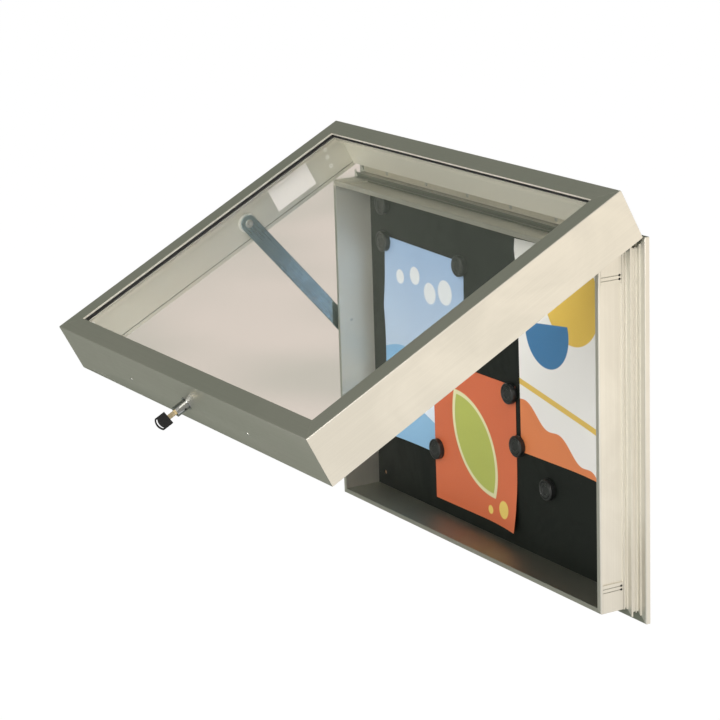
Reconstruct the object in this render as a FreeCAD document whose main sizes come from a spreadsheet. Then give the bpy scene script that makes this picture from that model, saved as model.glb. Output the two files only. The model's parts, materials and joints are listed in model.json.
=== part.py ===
import FreeCAD, Part
import math
import os
import Sketcher

# Lockable notice board: a shallow aluminium case for a wall, with a glazed top-hung door held open by a stay.
# Millimetres. X to the right, Y into the wall, Z up. The origin is in the plane of the wall,
# at the centre of the four wall fixing holes. The door is modelled open, as it stands on its stay.
# Two distances are used throughout: "reach" is measured outward from the outer face of the case's
# front part, and "depth" from its front face towards the wall.

doc = FreeCAD.newDocument("notice_board")
sheet = doc.addObject("Spreadsheet::Sheet", "dims")
aliases = []
pieces = []


class Size:
    # A number together with the formula that sketches and features are bound to.

    def __init__(self, value, formula):
        self.value = value
        self.formula = formula

    def __add__(self, other):
        other = sized(other)
        return Size(self.value + other.value, f"({self.formula} + {other.formula})")

    def __sub__(self, other):
        other = sized(other)
        return Size(self.value - other.value, f"({self.formula} - {other.formula})")

    def __mul__(self, factor):
        factor = sized(factor)
        return Size(self.value * factor.value, f"({self.formula} * {factor.formula})")

    def __truediv__(self, divisor):
        divisor = sized(divisor)
        return Size(self.value / divisor.value, f"({self.formula} / {divisor.formula})")

    def __neg__(self):
        return Size(-self.value, f"(0 - {self.formula})")

    def __radd__(self, other):
        return sized(other) + self

    def __rsub__(self, other):
        return sized(other) - self


def sized(number):
    return number if isinstance(number, Size) else Size(float(number), repr(float(number)))


def driving(alias, number):
    aliases.append(alias)
    row = len(aliases)
    sheet.set(f"A{row}", alias)
    sheet.set(f"B{row}", str(number))
    sheet.setAlias(f"B{row}", alias)
    return Size(float(number), f"dims.{alias}")


# Case
headWidth = driving("headWidth", 652)
headHeight = driving("headHeight", 474)
caseDepth = driving("caseDepth", 65)
flangeReach = driving("flangeReach", 20)
faceWidth = driving("faceWidth", 7)
channelFront = driving("channelFront", 3.8)
channelRear = driving("channelRear", 36.6)
channelSink = driving("channelSink", 2)
ribReach = driving("ribReach", 0.9)
ribWidth = driving("ribWidth", 2.2)
finReach = driving("finReach", 9.4)
topFinReach = driving("topFinReach", 5.6)
finFront = driving("finFront", 42.8)
finRear = driving("finRear", 45.2)
floorReach = driving("floorReach", 5)
seamReach = driving("seamReach", 6.2)
shoulderReach = driving("shoulderReach", 10.2)
shoulderWidth = driving("shoulderWidth", 1.6)
flangeFront = driving("flangeFront", 57.6)
panelSeat = driving("panelSeat", 58)
profileWall = driving("profileWall", 1.8)
edgeRound = driving("edgeRound", 1.9)
panelThick = driving("panelThick", 1.5)
panelPlay = driving("panelPlay", 0.3)

# Fixing to the wall
fixingSpanX = driving("fixingSpanX", 600)
fixingSpanZ = driving("fixingSpanZ", 420)
fixingHole = driving("fixingHole", 3.25)

# Door
doorOverhang = driving("doorOverhang", 21.5)
doorDepth = driving("doorDepth", 73)
doorRearDepth = driving("doorRearDepth", 55.5)
doorWall = driving("doorWall", 2.5)
lipWidth = driving("lipWidth", 28)
lipThick = driving("lipThick", 2.6)
boxWidth = driving("boxWidth", 11)
boxDepth = driving("boxDepth", 13.5)
boxWall = driving("boxWall", 1.5)
rimDepth = driving("rimDepth", 6.2)
rimGroove = driving("rimGroove", 1.2)
topWallDepth = driving("topWallDepth", 66.6)
topInnerDepth = driving("topInnerDepth", 70)
glassFront = driving("glassFront", 7)
glassThick = driving("glassThick", 4)
glassEdge = driving("glassEdge", 14)
openAngle = driving("openAngle", 62.4)

# Hinge
hingeDepth = driving("hingeDepth", 54)
hingeReach = driving("hingeReach", 22.5)
hingeLength = driving("hingeLength", 660)
leafThick = driving("leafThick", 1.2)
hingePinRadius = driving("hingePinRadius", 1.5)
runningGap = driving("runningGap", 0.05)
knuckleRadius = driving("knuckleRadius", 2.75)

# Stay
barWidth = driving("barWidth", 25)
barThick = driving("barThick", 2.5)
stayPivotDrop = driving("stayPivotDrop", 202)
stayPivotDepth = driving("stayPivotDepth", 44.2)
guideDepth = driving("guideDepth", 19.5)
guideHeight = driving("guideHeight", 12)
rollerRadius = driving("rollerRadius", 4)

# Lock
lockDepth = driving("lockDepth", 42.3)
barrelRadius = driving("barrelRadius", 7.3)
barrelOut = driving("barrelOut", 19)
plugRadius = driving("plugRadius", 5)
boltRadius = driving("boltRadius", 4)

# Notices and magnets
sheetThick = driving("sheetThick", 0.3)
magnetRadius = driving("magnetRadius", 15)
magnetThick = driving("magnetThick", 8)

knuckleCount = 9
knuckleGap = 0.3
rivetPitch = 106
rivetPlaces = [rivetPitch * (step + 0.5) for step in range(-3, 3)]
rivetRadius = 1.5

# Small parts that repeat, and the holes they sit in, have flat sides, which keeps the model light.
pegSides = 8
barrelSides = 12
discSides = 20

doc.recompute()

doorHalfWidth = headWidth / 2 + doorOverhang
doorHalfHeight = headHeight / 2 + doorOverhang
doorFront = doorRearDepth - doorDepth - caseDepth
hingeY = hingeDepth - caseDepth
hingeZ = headHeight / 2 + hingeReach
panelFace = panelSeat - caseDepth
vector = FreeCAD.Vector


def turn(axis, degrees):
    return FreeCAD.Rotation(vector(*axis), degrees)


def place(x, y, z, rotation=FreeCAD.Rotation()):
    return FreeCAD.Placement(vector(sized(x).value, sized(y).value, sized(z).value), rotation)


# The door is drawn shut and then swung open about the hinge pin.
swing = FreeCAD.Placement(vector(), turn((1, 0, 0), -openAngle.value), vector(0, hingeY.value, hingeZ.value))


def bind(item, **sizes):
    for name, size in sizes.items():
        item.setExpression(name.replace("_", "."), sized(size).formula)
    return item


def keep(item, label):
    item.Label = label
    pieces.append(item)
    return item


def newBody(name):
    item = doc.addObject("PartDesign::Body", name + "_body")
    item.AllowCompound = True
    return item


def newSketch(item, role, offset=0):
    plane = [feature for feature in item.Origin.OriginFeatures if feature.Role == role][0]
    sketch = item.newObject("Sketcher::SketchObject", "sketch")
    sketch.AttachmentSupport = [(plane, "")]
    sketch.MapMode = "FlatFace"
    bind(sketch, AttachmentOffset_Base_z=offset)
    return sketch


def hold(sketch, geometry, point, x, y):
    for kind, size in (("DistanceX", sized(x)), ("DistanceY", sized(y))):
        index = sketch.addConstraint(Sketcher.Constraint(kind, -1, 1, geometry, point, size.value))
        if "dims" in size.formula:
            sketch.setExpression(f"Constraints[{index}]", size.formula)


def drawOutline(sketch, points):
    first = sketch.GeometryCount
    corners = [vector(sized(x).value, sized(y).value, 0) for x, y in points]
    for here, there in zip(corners, corners[1:] + corners[:1]):
        sketch.addGeometry(Part.LineSegment(here, there))
    for index, (x, y) in enumerate(points):
        after = (index + 1) % len(points)
        sketch.addConstraint(Sketcher.Constraint("Coincident", first + index, 2, first + after, 1))
        hold(sketch, first + index, 1, x, y)


def drawCircle(sketch, x, y, radius):
    radius = sized(radius)
    centre = vector(sized(x).value, sized(y).value, 0)
    index = sketch.addGeometry(Part.Circle(centre, vector(0, 0, 1), radius.value))
    hold(sketch, index, 3, x, y)
    rule = sketch.addConstraint(Sketcher.Constraint("Radius", index, radius.value))
    if "dims" in radius.formula:
        sketch.setExpression(f"Constraints[{rule}]", radius.formula)


def rectangle(left, right, low, high):
    return [(left, low), (right, low), (right, high), (left, high)]


def polygon(x, y, toFlat, sides=pegSides):
    # A regular polygon round x, y, given the distance from there to its flats.
    angles = [2 * math.pi * (step + 0.5) / sides for step in range(sides)]
    reach = sized(toFlat) / math.cos(math.pi / sides)
    return [(reach * math.cos(angle) + x, reach * math.sin(angle) + y) for angle in angles]


def pad(item, sketch, length, symmetric=False, reverse=False):
    feature = item.newObject("PartDesign::Pad", "pad")
    feature.Profile = sketch
    feature.SideType = "Symmetric" if symmetric else "One side"
    feature.Reversed = reverse
    return bind(feature, Length=length)


def cut(item, sketch, length=None, reverse=False):
    # With no length the pocket goes right through, both ways.
    feature = item.newObject("PartDesign::Pocket", "pocket")
    feature.Profile = sketch
    feature.Reversed = reverse
    if length is None:
        feature.SideType = "Symmetric"
        feature.Type = "ThroughAll"
        return feature
    return bind(feature, Length=length)


def roundEdges(item, base, radius, wanted):
    doc.recompute()
    names = [f"Edge{n}" for n, edge in enumerate(base.Shape.Edges, 1) if wanted(edge)]
    feature = item.newObject("PartDesign::Fillet", "fillet")
    feature.Base = (base, names)
    return bind(feature, Radius=radius)


def isLengthwise(edge, y, z):
    ends = [vertex.Point for vertex in edge.Vertexes]
    along = len(ends) == 2 and abs(ends[0].x - ends[1].x) > 1
    near = math.hypot(ends[0].y - sized(y).value, ends[0].z - sized(z).value) < 0.01
    return along and near


def box(x, y, z, length, width, height):
    # x, y, z are the low corner.
    item = doc.addObject("Part::Box", "block")
    bind(item, Length=length, Width=width, Height=height)
    return bind(item, Placement_Base_x=x, Placement_Base_y=y, Placement_Base_z=z)


turns = {"x": turn((0, 1, 0), 90), "y": turn((1, 0, 0), -90), "z": FreeCAD.Rotation()}


def rod(axis, x, y, z, radius, length):
    # A cylinder that starts at x, y, z and runs along +x, +y or +z.
    item = doc.addObject("Part::Cylinder", "rod")
    item.Placement = FreeCAD.Placement(vector(), turns[axis])
    bind(item, Radius=radius, Height=length)
    return bind(item, Placement_Base_x=x, Placement_Base_y=y, Placement_Base_z=z)


def peg(axis, x, y, z, radius, length, sides=pegSides):
    # A rod with flat sides, its corners at the radius.
    item = doc.addObject("Part::Prism", "peg")
    item.Placement = FreeCAD.Placement(vector(), turns[axis])
    item.Polygon = sides
    bind(item, Circumradius=radius, Height=length)
    return bind(item, Placement_Base_x=x, Placement_Base_y=y, Placement_Base_z=z)


def fuse(*items):
    result = doc.addObject("Part::MultiFuse", "fusion")
    result.Shapes = list(items)
    result.Refine = True
    return result


def subtract(base, tool):
    result = doc.addObject("Part::Cut", "cut")
    result.Base = base
    result.Tool = tool
    return result


def common(first, second):
    result = doc.addObject("Part::Common", "common")
    result.Base = first
    result.Tool = second
    return result


def group(label, items, placement=FreeCAD.Placement()):
    result = doc.addObject("Part::Compound", "group")
    result.Links = list(items)
    result.Placement = placement
    return keep(result, label)


# Frame members

sideTurns = {"bottom": 0, "right": -90, "top": 180, "left": 90}


def memberPlacement(side, halfWidth, halfHeight, front):
    # Along the member is local x, outward is local y, towards the wall is local z.
    rotation = turn((0, 1, 0), sideTurns[side]).multiply(turn((1, 0, 0), -90))
    x = {"left": -halfWidth.value, "right": halfWidth.value}.get(side, 0)
    z = {"bottom": -halfHeight.value, "top": halfHeight.value}.get(side, 0)
    return place(x, front, z, rotation)


def mitredMember(label, half, outline, hollows, rounded, innermost, outermost):
    # An extrusion with both ends cut at 45 degrees, to meet its neighbours at the frame's corners.
    item = newBody(label)
    profile = newSketch(item, "YZ_Plane")
    drawOutline(profile, outline)
    for hollow in hollows:
        drawOutline(profile, hollow)
    solid = pad(item, profile, (half + outermost) * 2, symmetric=True)
    if rounded:
        roundEdges(item, solid, edgeRound, lambda edge: any(isLengthwise(edge, y, z) for y, z in rounded))
    low = innermost - 1
    high = outermost + 1
    waste = newSketch(item, "XY_Plane")
    drawOutline(waste, [(half + low, low), (half + high, low), (half + high, high)])
    drawOutline(waste, [(-half - low, low), (-half - high, low), (-half - high, high)])
    cut(item, waste)
    return item


# Case profiles: a stepped labyrinth that the door's skirt closes over

ribRear = channelRear + ribWidth + 0.4
leafSeat = hingeDepth + knuckleRadius
caseRivetReach = shoulderReach + 1.3
ventPlaces = (-340, 340)
ventRadius = 1.4
keeperRadius = boltRadius + 2.5
stopHeight = guideHeight + 14
stopScrewRadius = 1.9
holePlay = 0.1
keeperDepth = 6


def headOutline(fin):
    return [
        (-faceWidth, 0),
        (0, 0),
        (0, channelFront),
        (-channelSink, channelFront),
        (-channelSink, channelRear),
        (ribReach / 2, channelRear),
        (ribReach / 2, ribRear),
        (-channelSink / 2, ribRear),
        (-channelSink / 2, finFront - profileWall),
        (ribReach, finFront - profileWall),
        (ribReach, finFront),
        (fin, finFront),
        (fin, finRear),
        (floorReach, finRear),
    ]


seamOutline = [
    (floorReach, finRear + ribWidth * 3),
    (seamReach, finRear + ribWidth * 3),
    (seamReach, flangeFront - shoulderWidth - ribWidth),
    (floorReach, flangeFront - shoulderWidth - ribWidth),
    (floorReach, flangeFront - shoulderWidth),
    (shoulderReach, flangeFront - shoulderWidth),
    (shoulderReach, flangeFront),
]
rearOutline = [
    (flangeReach, caseDepth),
    (0, caseDepth),
    (0, panelSeat),
    (-faceWidth, panelSeat),
]
wallChamber = rectangle(
    -faceWidth + profileWall, floorReach - profileWall, finRear - ribWidth / 4, panelSeat - profileWall
)
flangeChamber = rectangle(
    profileWall, flangeReach - profileWall, flangeFront + profileWall, caseDepth - profileWall
)

for side in ("bottom", "right", "top", "left"):
    half = headHeight / 2 if side in ("left", "right") else headWidth / 2
    if side == "top":
        front = headOutline(topFinReach)
        middle = [(floorReach, leafSeat), (flangeReach, leafSeat)]
        rounded = [(0, 0), (flangeReach, leafSeat)]
    else:
        front = headOutline(finReach)
        middle = seamOutline + [(flangeReach, flangeFront)]
        rounded = [(0, 0), (flangeReach, flangeFront)]
    member = mitredMember(
        "case_profile_" + side, half, front + middle + rearOutline,
        [wallChamber, flangeChamber], rounded, -faceWidth, flangeReach,
    )
    if side == "bottom":
        keeperHole = newSketch(member, "XZ_Plane")
        drawCircle(keeperHole, 0, doorRearDepth - doorDepth + lockDepth, keeperRadius)
        cut(member, keeperHole, keeperDepth, reverse=True)
    if side == "top":
        rivetHoles = newSketch(member, "XY_Plane", leafSeat)
        for x in rivetPlaces:
            drawOutline(rivetHoles, polygon(x, caseRivetReach, rivetRadius + holePlay))
        cut(member, rivetHoles, profileWall * 2, reverse=True)
        ventHoles = newSketch(member, "XZ_Plane", -flangeReach)
        for x in ventPlaces:
            drawOutline(ventHoles, polygon(x, (flangeFront + caseDepth) / 2, ventRadius))
        cut(member, ventHoles, profileWall * 2, reverse=True)
    if side == "left":
        stopHole = newSketch(member, "XZ_Plane")
        drawOutline(stopHole, polygon(-stopHeight, guideDepth, stopScrewRadius + holePlay))
        cut(member, stopHole)
    member.Placement = memberPlacement(side, headWidth / 2, headHeight / 2, -caseDepth)
    keep(member, "case_profile_" + side)


# Corner brackets lie in the profiles' side channel and pull each mitre together

bracketLeg = 38
bracketGrooves = (27.4, 32.4)
grooveWidth = 1.2
bracketPlay = 0.2
bracketDepth = channelRear - channelFront - bracketPlay * 2
bracketScrewInset = 3.2
grubRadius = 1.5
corners = {
    "bottom_right": (1, -1, 0),
    "bottom_left": (-1, -1, 90),
    "top_left": (-1, 1, 180),
    "top_right": (1, 1, -90),
}


def anglePiece(label, thick, leg, depth):
    # A right angle in the plane of the frame, its outer corner at the origin.
    item = newBody(label)
    sketch = newSketch(item, "XZ_Plane")
    drawOutline(sketch, [(0, 0), (0, leg), (-thick, leg), (-thick, thick), (-leg, thick), (-leg, 0)])
    pad(item, sketch, depth, reverse=True)
    return item


for corner, (signX, signZ, degrees) in corners.items():
    bracket = anglePiece("case_corner_bracket_" + corner, channelSink, bracketLeg, bracketDepth)
    grooves = newSketch(bracket, "XZ_Plane")
    for start in bracketGrooves:
        drawOutline(grooves, rectangle(-channelSink / 3, 1, start, start + grooveWidth))
        drawOutline(grooves, rectangle(-start - grooveWidth, -start, -1, channelSink / 3))
    cut(bracket, grooves)
    screwHoles = newSketch(bracket, "XY_Plane")
    sideHoles = newSketch(bracket, "YZ_Plane")
    for start in bracketGrooves:
        along = start + grooveWidth / 2
        drawOutline(screwHoles, polygon(-along, bracketDepth - bracketScrewInset, grubRadius + holePlay))
        drawOutline(sideHoles, polygon(bracketDepth - bracketScrewInset, along, grubRadius + holePlay))
    cut(bracket, screwHoles, channelSink * 2, reverse=True)
    cut(bracket, sideHoles, channelSink * 2)
    cornerX = headWidth / 2 * signX
    cornerZ = headHeight / 2 * signZ
    bracketFront = channelFront + bracketPlay - caseDepth
    bracket.Placement = place(cornerX, bracketFront, cornerZ, turn((0, 1, 0), degrees))
    keep(bracket, "case_corner_bracket_" + corner)

screwDepth = bracketFront + bracketDepth - bracketScrewInset
bracketScrews = []
for signX, signZ, degrees in corners.values():
    for start in bracketGrooves:
        inset = start + grooveWidth / 2
        sunk = channelSink - bracketPlay
        edgeX = headWidth / 2 - channelSink if signX > 0 else -headWidth / 2 + channelSink - sunk
        edgeZ = headHeight / 2 - channelSink if signZ > 0 else -headHeight / 2 + channelSink - sunk
        alongX = (headWidth / 2 - inset) * signX
        alongZ = (headHeight / 2 - inset) * signZ
        bracketScrews.append(peg("z", alongX, screwDepth, edgeZ, grubRadius, sunk))
        bracketScrews.append(peg("x", edgeX, screwDepth, alongZ, grubRadius, sunk))
group("corner_bracket_screws", bracketScrews)


# Steel notice panel and its backing board, let into the profiles from behind

panelHalfX = headWidth / 2 - panelPlay
panelHalfZ = headHeight / 2 - panelPlay
screwInset = faceWidth / 2
panelScrewRadius = 1.4
panelHeadRadius = 2.8
panelHeadThick = 2
panelHeadSink = 0.1
panelScrewPlaces = []
for signX in (-1, 1):
    for signZ in (-1, 1):
        panelScrewPlaces.append(((headWidth / 4) * signX, (headHeight / 2 - screwInset) * signZ))
        panelScrewPlaces.append(((headWidth / 2 - screwInset) * signX, (headHeight / 4) * signZ))


def panelPlate(label, front, thick, headPocket):
    # The steel panel has easy holes at the wall fixings, and the board behind it the true ones.
    item = newBody(label)
    sketch = newSketch(item, "XZ_Plane", -front)
    drawOutline(sketch, rectangle(-panelHalfX, panelHalfX, -panelHalfZ, panelHalfZ))
    for signX in (-1, 1):
        for signZ in (-1, 1):
            fixing = (fixingSpanX / 2 * signX, fixingSpanZ / 2 * signZ)
            if headPocket:
                drawCircle(sketch, *fixing, fixingHole)
            else:
                drawOutline(sketch, polygon(*fixing, fixingHole + holePlay))
    for x, z in panelScrewPlaces:
        drawOutline(sketch, polygon(x, z, panelScrewRadius + holePlay))
    pad(item, sketch, thick, reverse=True)
    if headPocket:
        heads = newSketch(item, "XZ_Plane")
        for x, z in panelScrewPlaces:
            drawOutline(heads, polygon(x, z, panelHeadRadius + holePlay))
        cut(item, heads, headPocket, reverse=True)
    return keep(item, label)


panelPlate("back_panel", panelFace, panelThick, None)
headPocketDepth = panelHeadThick + panelHeadSink * 2
panelPlate("backing_board", panelFace + panelThick, -panelFace - panelThick, headPocketDepth)

shankFront = panelFace - profileWall + panelPlay
shankLength = -panelFace + profileWall - 1
panelScrews = []
for x, z in panelScrewPlaces:
    head = peg("y", x, -panelHeadThick - panelHeadSink, z, panelHeadRadius, panelHeadThick)
    shank = peg("y", x, shankFront, z, panelScrewRadius, shankLength)
    panelScrews.append(fuse(head, shank))
group("panel_screws", panelScrews)


# Piano hinge: a case leaf on the top profile's seat, a door leaf on top of the door's top wall

segment = hingeLength / knuckleCount


def knuckleStart(index):
    return -hingeLength / 2 + segment * index


def hingeLeaf(label, outline, centreY, centreZ, plane, clearLow, clearHigh, firstCut, holes):
    item = newBody(label)
    leaf = newSketch(item, "YZ_Plane")
    drawOutline(leaf, outline)
    pad(item, leaf, hingeLength, symmetric=True)
    barrel = newSketch(item, "YZ_Plane")
    drawOutline(barrel, polygon(centreY, centreZ, knuckleRadius, barrelSides))
    pad(item, barrel, hingeLength, symmetric=True)
    bore = newSketch(item, "YZ_Plane")
    drawOutline(bore, polygon(centreY, centreZ, hingePinRadius + runningGap, barrelSides))
    cut(item, bore)
    spaces = newSketch(item, plane)
    for index in range(firstCut, knuckleCount, 2):
        left = knuckleStart(index) - knuckleGap if index else knuckleStart(index) - 1
        right = knuckleStart(index + 1) + knuckleGap
        drawOutline(spaces, rectangle(left, right, clearLow, clearHigh))
    cut(item, spaces)
    rivets = newSketch(item, plane)
    for x in rivetPlaces:
        drawOutline(rivets, polygon(x, holes, rivetRadius + holePlay))
    cut(item, rivets)
    return item


caseTop = headHeight / 2
seatY = leafSeat - caseDepth
rivetZ = caseTop + caseRivetReach
caseLeafOutline = rectangle(seatY - leafThick, seatY, caseTop + floorReach + 0.4, hingeZ)
caseLeaf = hingeLeaf(
    "hinge_leaf_case", caseLeafOutline, hingeY, hingeZ, "XZ_Plane",
    hingeZ - knuckleRadius - 0.3, hingeZ + knuckleRadius + 0.5, 1, rivetZ,
)
keep(caseLeaf, "hinge_leaf_case")

leafFrontY = hingeY - 18
doorLeafOutline = rectangle(leafFrontY, hingeY, doorHalfHeight, doorHalfHeight + leafThick)
doorRivetY = leafFrontY + 6
doorLeaf = hingeLeaf(
    "hinge_leaf_door", doorLeafOutline, hingeY, hingeZ, "XY_Plane",
    hingeY - knuckleRadius - 0.3, hingeY + knuckleRadius + 0.5, 0, doorRivetY,
)
doorLeaf.Placement = swing
keep(doorLeaf, "hinge_leaf_door")

group("hinge_pin", [rod("x", -hingeLength / 2 - 0.5, hingeY, hingeZ, hingePinRadius, hingeLength + 1)])

rivetHeadRadius = 3.2
rivetHeadThick = 1.1
shankEnd = doorHalfHeight - doorWall - 0.5
caseRivets = []
doorRivets = []
for x in rivetPlaces:
    caseHead = peg("y", x, seatY - leafThick - rivetHeadThick, rivetZ, rivetHeadRadius, rivetHeadThick)
    caseShank = peg("y", x, seatY - leafThick - 0.1, rivetZ, rivetRadius, leafThick + profileWall + 1)
    caseRivets.append(fuse(caseHead, caseShank))
    doorHead = peg("z", x, doorRivetY, doorHalfHeight + leafThick, rivetHeadRadius, rivetHeadThick)
    doorShank = peg("z", x, doorRivetY, shankEnd, rivetRadius, doorHalfHeight + leafThick + 0.1 - shankEnd)
    doorRivets.append(fuse(doorHead, doorShank))
group("hinge_rivets_case", caseRivets)
group("hinge_rivets_door", doorRivets, swing)


# Door profiles: lip and hollow side wall in one extrusion, local z is the depth behind the front


def wallHollow(front, rear):
    return rectangle(-boxWidth + boxWall, -doorWall, front, rear)


grooveFront = doorDepth - rimDepth
grooveRear = grooveFront + rimGroove
grooveSink = 1
topStep = 2.2
cornerHollow = wallHollow(lipThick, boxDepth - boxWall)
sideHollows = [
    cornerHollow,
    wallHollow(boxDepth, grooveFront - boxWall),
    wallHollow(grooveRear + boxWall, doorDepth - boxWall),
]
topHollows = [cornerHollow, wallHollow(boxDepth, topWallDepth - boxWall)]
lipOutline = [(-boxWidth, lipThick), (-lipWidth, lipThick), (-lipWidth, 0)]
sideOutline = [
    (0, 0),
    (0, doorDepth),
    (-boxWidth, doorDepth),
    (-boxWidth, grooveRear),
    (-boxWidth + grooveSink, grooveRear),
    (-boxWidth + grooveSink, grooveFront),
    (-boxWidth, grooveFront),
] + lipOutline
topOutline = [
    (0, 0),
    (0, topWallDepth),
    (-topStep, topWallDepth),
    (-topStep, topInnerDepth),
    (-boxWidth, topInnerDepth),
] + lipOutline
bottomRivetDepth = 46.5
bottomRivetPlaces = (-165.5, 160.5)
stayRivetRadius = 3
stayPivotAlong = doorHalfHeight - stayPivotDrop
sleeveThick = 1.4

for side in ("bottom", "right", "top", "left"):
    half = doorHalfHeight if side in ("left", "right") else doorHalfWidth
    outline = topOutline if side == "top" else sideOutline
    hollows = topHollows if side == "top" else sideHollows
    member = mitredMember("door_profile_" + side, half, outline, hollows, [(0, 0)], -lipWidth, 0)
    rivets = {"bottom": bottomRivetPlaces, "top": rivetPlaces}.get(side, [])
    depth = bottomRivetDepth if side == "bottom" else doorRivetY - doorFront
    if rivets:
        rivetHoles = newSketch(member, "XZ_Plane")
        for x in rivets:
            drawOutline(rivetHoles, polygon(x, depth, rivetRadius + holePlay))
        cut(member, rivetHoles, doorWall * 1.5, reverse=True)
    if side in ("bottom", "left"):
        wallHole = newSketch(member, "XZ_Plane")
        if side == "bottom":
            drawCircle(wallHole, 0, lockDepth, barrelRadius + sleeveThick + holePlay)
        else:
            drawCircle(wallHole, -stayPivotAlong, stayPivotDepth, stayRivetRadius)
        cut(member, wallHole, boxWidth + 1, reverse=True)
    local = memberPlacement(side, doorHalfWidth, doorHalfHeight, doorFront)
    member.Placement = swing.multiply(local)
    keep(member, "door_profile_" + side)

cleatPlay = 0.1
cleatLeg = 35
cleatOuter = doorWall + cleatPlay
cleatInner = boxWidth - boxWall - cleatPlay
cleatDepth = boxDepth - boxWall - lipThick - cleatPlay * 2
for corner, (signX, signZ, degrees) in corners.items():
    cleat = anglePiece("door_corner_cleat_" + corner, cleatInner - cleatOuter, cleatLeg, cleatDepth)
    x = (doorHalfWidth.value - cleatOuter.value) * signX
    z = (doorHalfHeight.value - cleatOuter.value) * signZ
    local = place(x, doorFront + lipThick + cleatPlay, z, turn((0, 1, 0), degrees))
    cleat.Placement = swing.multiply(local)
    keep(cleat, "door_corner_cleat_" + corner)


# Glazing: gasket behind the lip, pane, beads and clips

def doorPlate(label, depth, thick, outer, inner=None):
    # A plate or a ring in the door's plane, drawn at a depth behind the door's front.
    item = newBody(label)
    sketch = newSketch(item, "XZ_Plane", -doorFront - depth)
    for inset in (outer, inner):
        if inset is not None:
            x = doorHalfWidth - inset
            z = doorHalfHeight - inset
            drawOutline(sketch, rectangle(-x, x, -z, z))
    pad(item, sketch, thick, reverse=True)
    item.Placement = swing
    return keep(item, label)


doorPlate("glazing_gasket", lipThick, glassFront - lipThick, boxWidth + 1, lipWidth - 0.6)
doorPlate("glass_pane", glassFront, glassThick, glassEdge)

beadThick = boxDepth - glassFront - glassThick
beadOutline = [
    (-lipWidth + 0.2, 0),
    (-boxWidth - 0.1, 0),
    (-boxWidth - 0.1, beadThick),
    (-lipWidth + 1.2, beadThick),
    (-lipWidth + 0.2, beadThick - 1),
]
for side in ("bottom", "right", "top", "left"):
    half = doorHalfHeight if side in ("left", "right") else doorHalfWidth
    bead = mitredMember("glazing_bead_" + side, half, beadOutline, [], [], -lipWidth, 0)
    local = memberPlacement(side, doorHalfWidth, doorHalfHeight, doorFront + glassFront + glassThick)
    bead.Placement = swing.multiply(local)
    keep(bead, "glazing_bead_" + side)

clipWidth = 6
clipHeight = 6
clipReach = 9
clipThick = 0.9
clipPitch = 165
clipHeadThick = 1
clipHeadRadius = 1.8


def glazingClip(side, along):
    # An angle screwed to the inner face of the door's wall, with a tongue that presses on the bead.
    upright = box(along - clipWidth / 2, -boxWidth - clipThick, 0, clipWidth, clipThick, clipHeight)
    tongue = box(along - clipWidth / 2, -boxWidth - clipReach, 0, clipWidth, clipReach, clipThick)
    headFront = -boxWidth - clipThick - clipHeadThick
    screw = peg("y", along, headFront, clipHeight * 0.6, clipHeadRadius, clipHeadThick + clipThick / 2, 6)
    clip = fuse(upright, tongue, screw)
    clip.Placement = memberPlacement(side, doorHalfWidth, doorHalfHeight, doorFront + boxDepth)
    return clip


clips = [glazingClip(side, clipPitch * step) for side in ("left", "right") for step in (-1, 0, 1)]
clips += [glazingClip(side, clipPitch * step) for side in ("top", "bottom") for step in (-1.4, 0, 1.4)]
group("glazing_clips", clips, swing)


# Stay: a flat bar from the door's left wall to a guide pin in the case's left channel

def onDoor(drop, depth):
    # Where a point of the door's side lies when the door is open.
    shut = vector(0, doorFront.value + depth, doorHalfHeight.value - drop)
    return swing.multVec(shut)


caseLeft = -headWidth / 2
pivot = onDoor(stayPivotDrop.value, stayPivotDepth.value)
guide = vector(0, guideDepth.value - caseDepth.value, guideHeight.value)
stayLength = (guide - pivot).Length
stayLean = math.degrees(math.atan2(guide.y - pivot.y, pivot.z - guide.z))
barInner = caseLeft - 4
barOuter = caseLeft - 9
bendY = -caseDepth - 6
guidePinRadius = 2
pinHoleRadius = guidePinRadius / math.cos(math.pi / pegSides)

# The blank of the bar, drawn hanging from the pivot and then leant towards the case.
blank = fuse(
    box(barOuter - 1, -barWidth / 2, -stayLength, barInner - barOuter + 2, barWidth, stayLength),
    rod("x", barOuter - 1, 0, 0, barWidth / 2, barInner - barOuter + 2),
    rod("x", barOuter - 1, 0, -stayLength, barWidth / 2, barInner - barOuter + 2),
)
leant = subtract(blank, fuse(
    rod("x", barOuter - 2, 0, 0, stayRivetRadius + runningGap, barInner - barOuter + 4),
    peg("x", barOuter - 2, 0, -stayLength, pinHoleRadius, barInner - barOuter + 4),
))
leant.Placement = place(0, pivot.y, pivot.z, turn((1, 0, 0), stayLean))
joggle = newBody("joggle")
joggleSketch = newSketch(joggle, "XY_Plane")
barReach = 40
drawOutline(joggleSketch, [
    (barInner, pivot.y - barReach),
    (barInner, bendY + 0.6),
    (barInner - barThick, bendY + 3.4),
    (barInner - barThick, guide.y + barReach),
    (barOuter, guide.y + barReach),
    (barOuter, bendY + 2.8),
    (barOuter + barThick, bendY),
    (barOuter + barThick, pivot.y - barReach),
])
pad(joggle, joggleSketch, 1000, symmetric=True)
group("stay_bar", [common(leant, joggle)])

spacerX = -doorHalfWidth + boxWidth
spacer = subtract(
    peg("x", spacerX, pivot.y, pivot.z, 14.5, barInner - barThick - spacerX, discSides),
    rod("x", spacerX - 1, pivot.y, pivot.z, stayRivetRadius, 20),
)
group("stay_spacer", [spacer])
rivetBody = rod("x", -doorHalfWidth, pivot.y, pivot.z, stayRivetRadius, barInner + doorHalfWidth + 0.5)
rivetHead = peg("x", barInner, pivot.y, pivot.z, stayRivetRadius * 2, 1.8, barrelSides)
group("stay_rivet", [fuse(rivetBody, rivetHead)])

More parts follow.
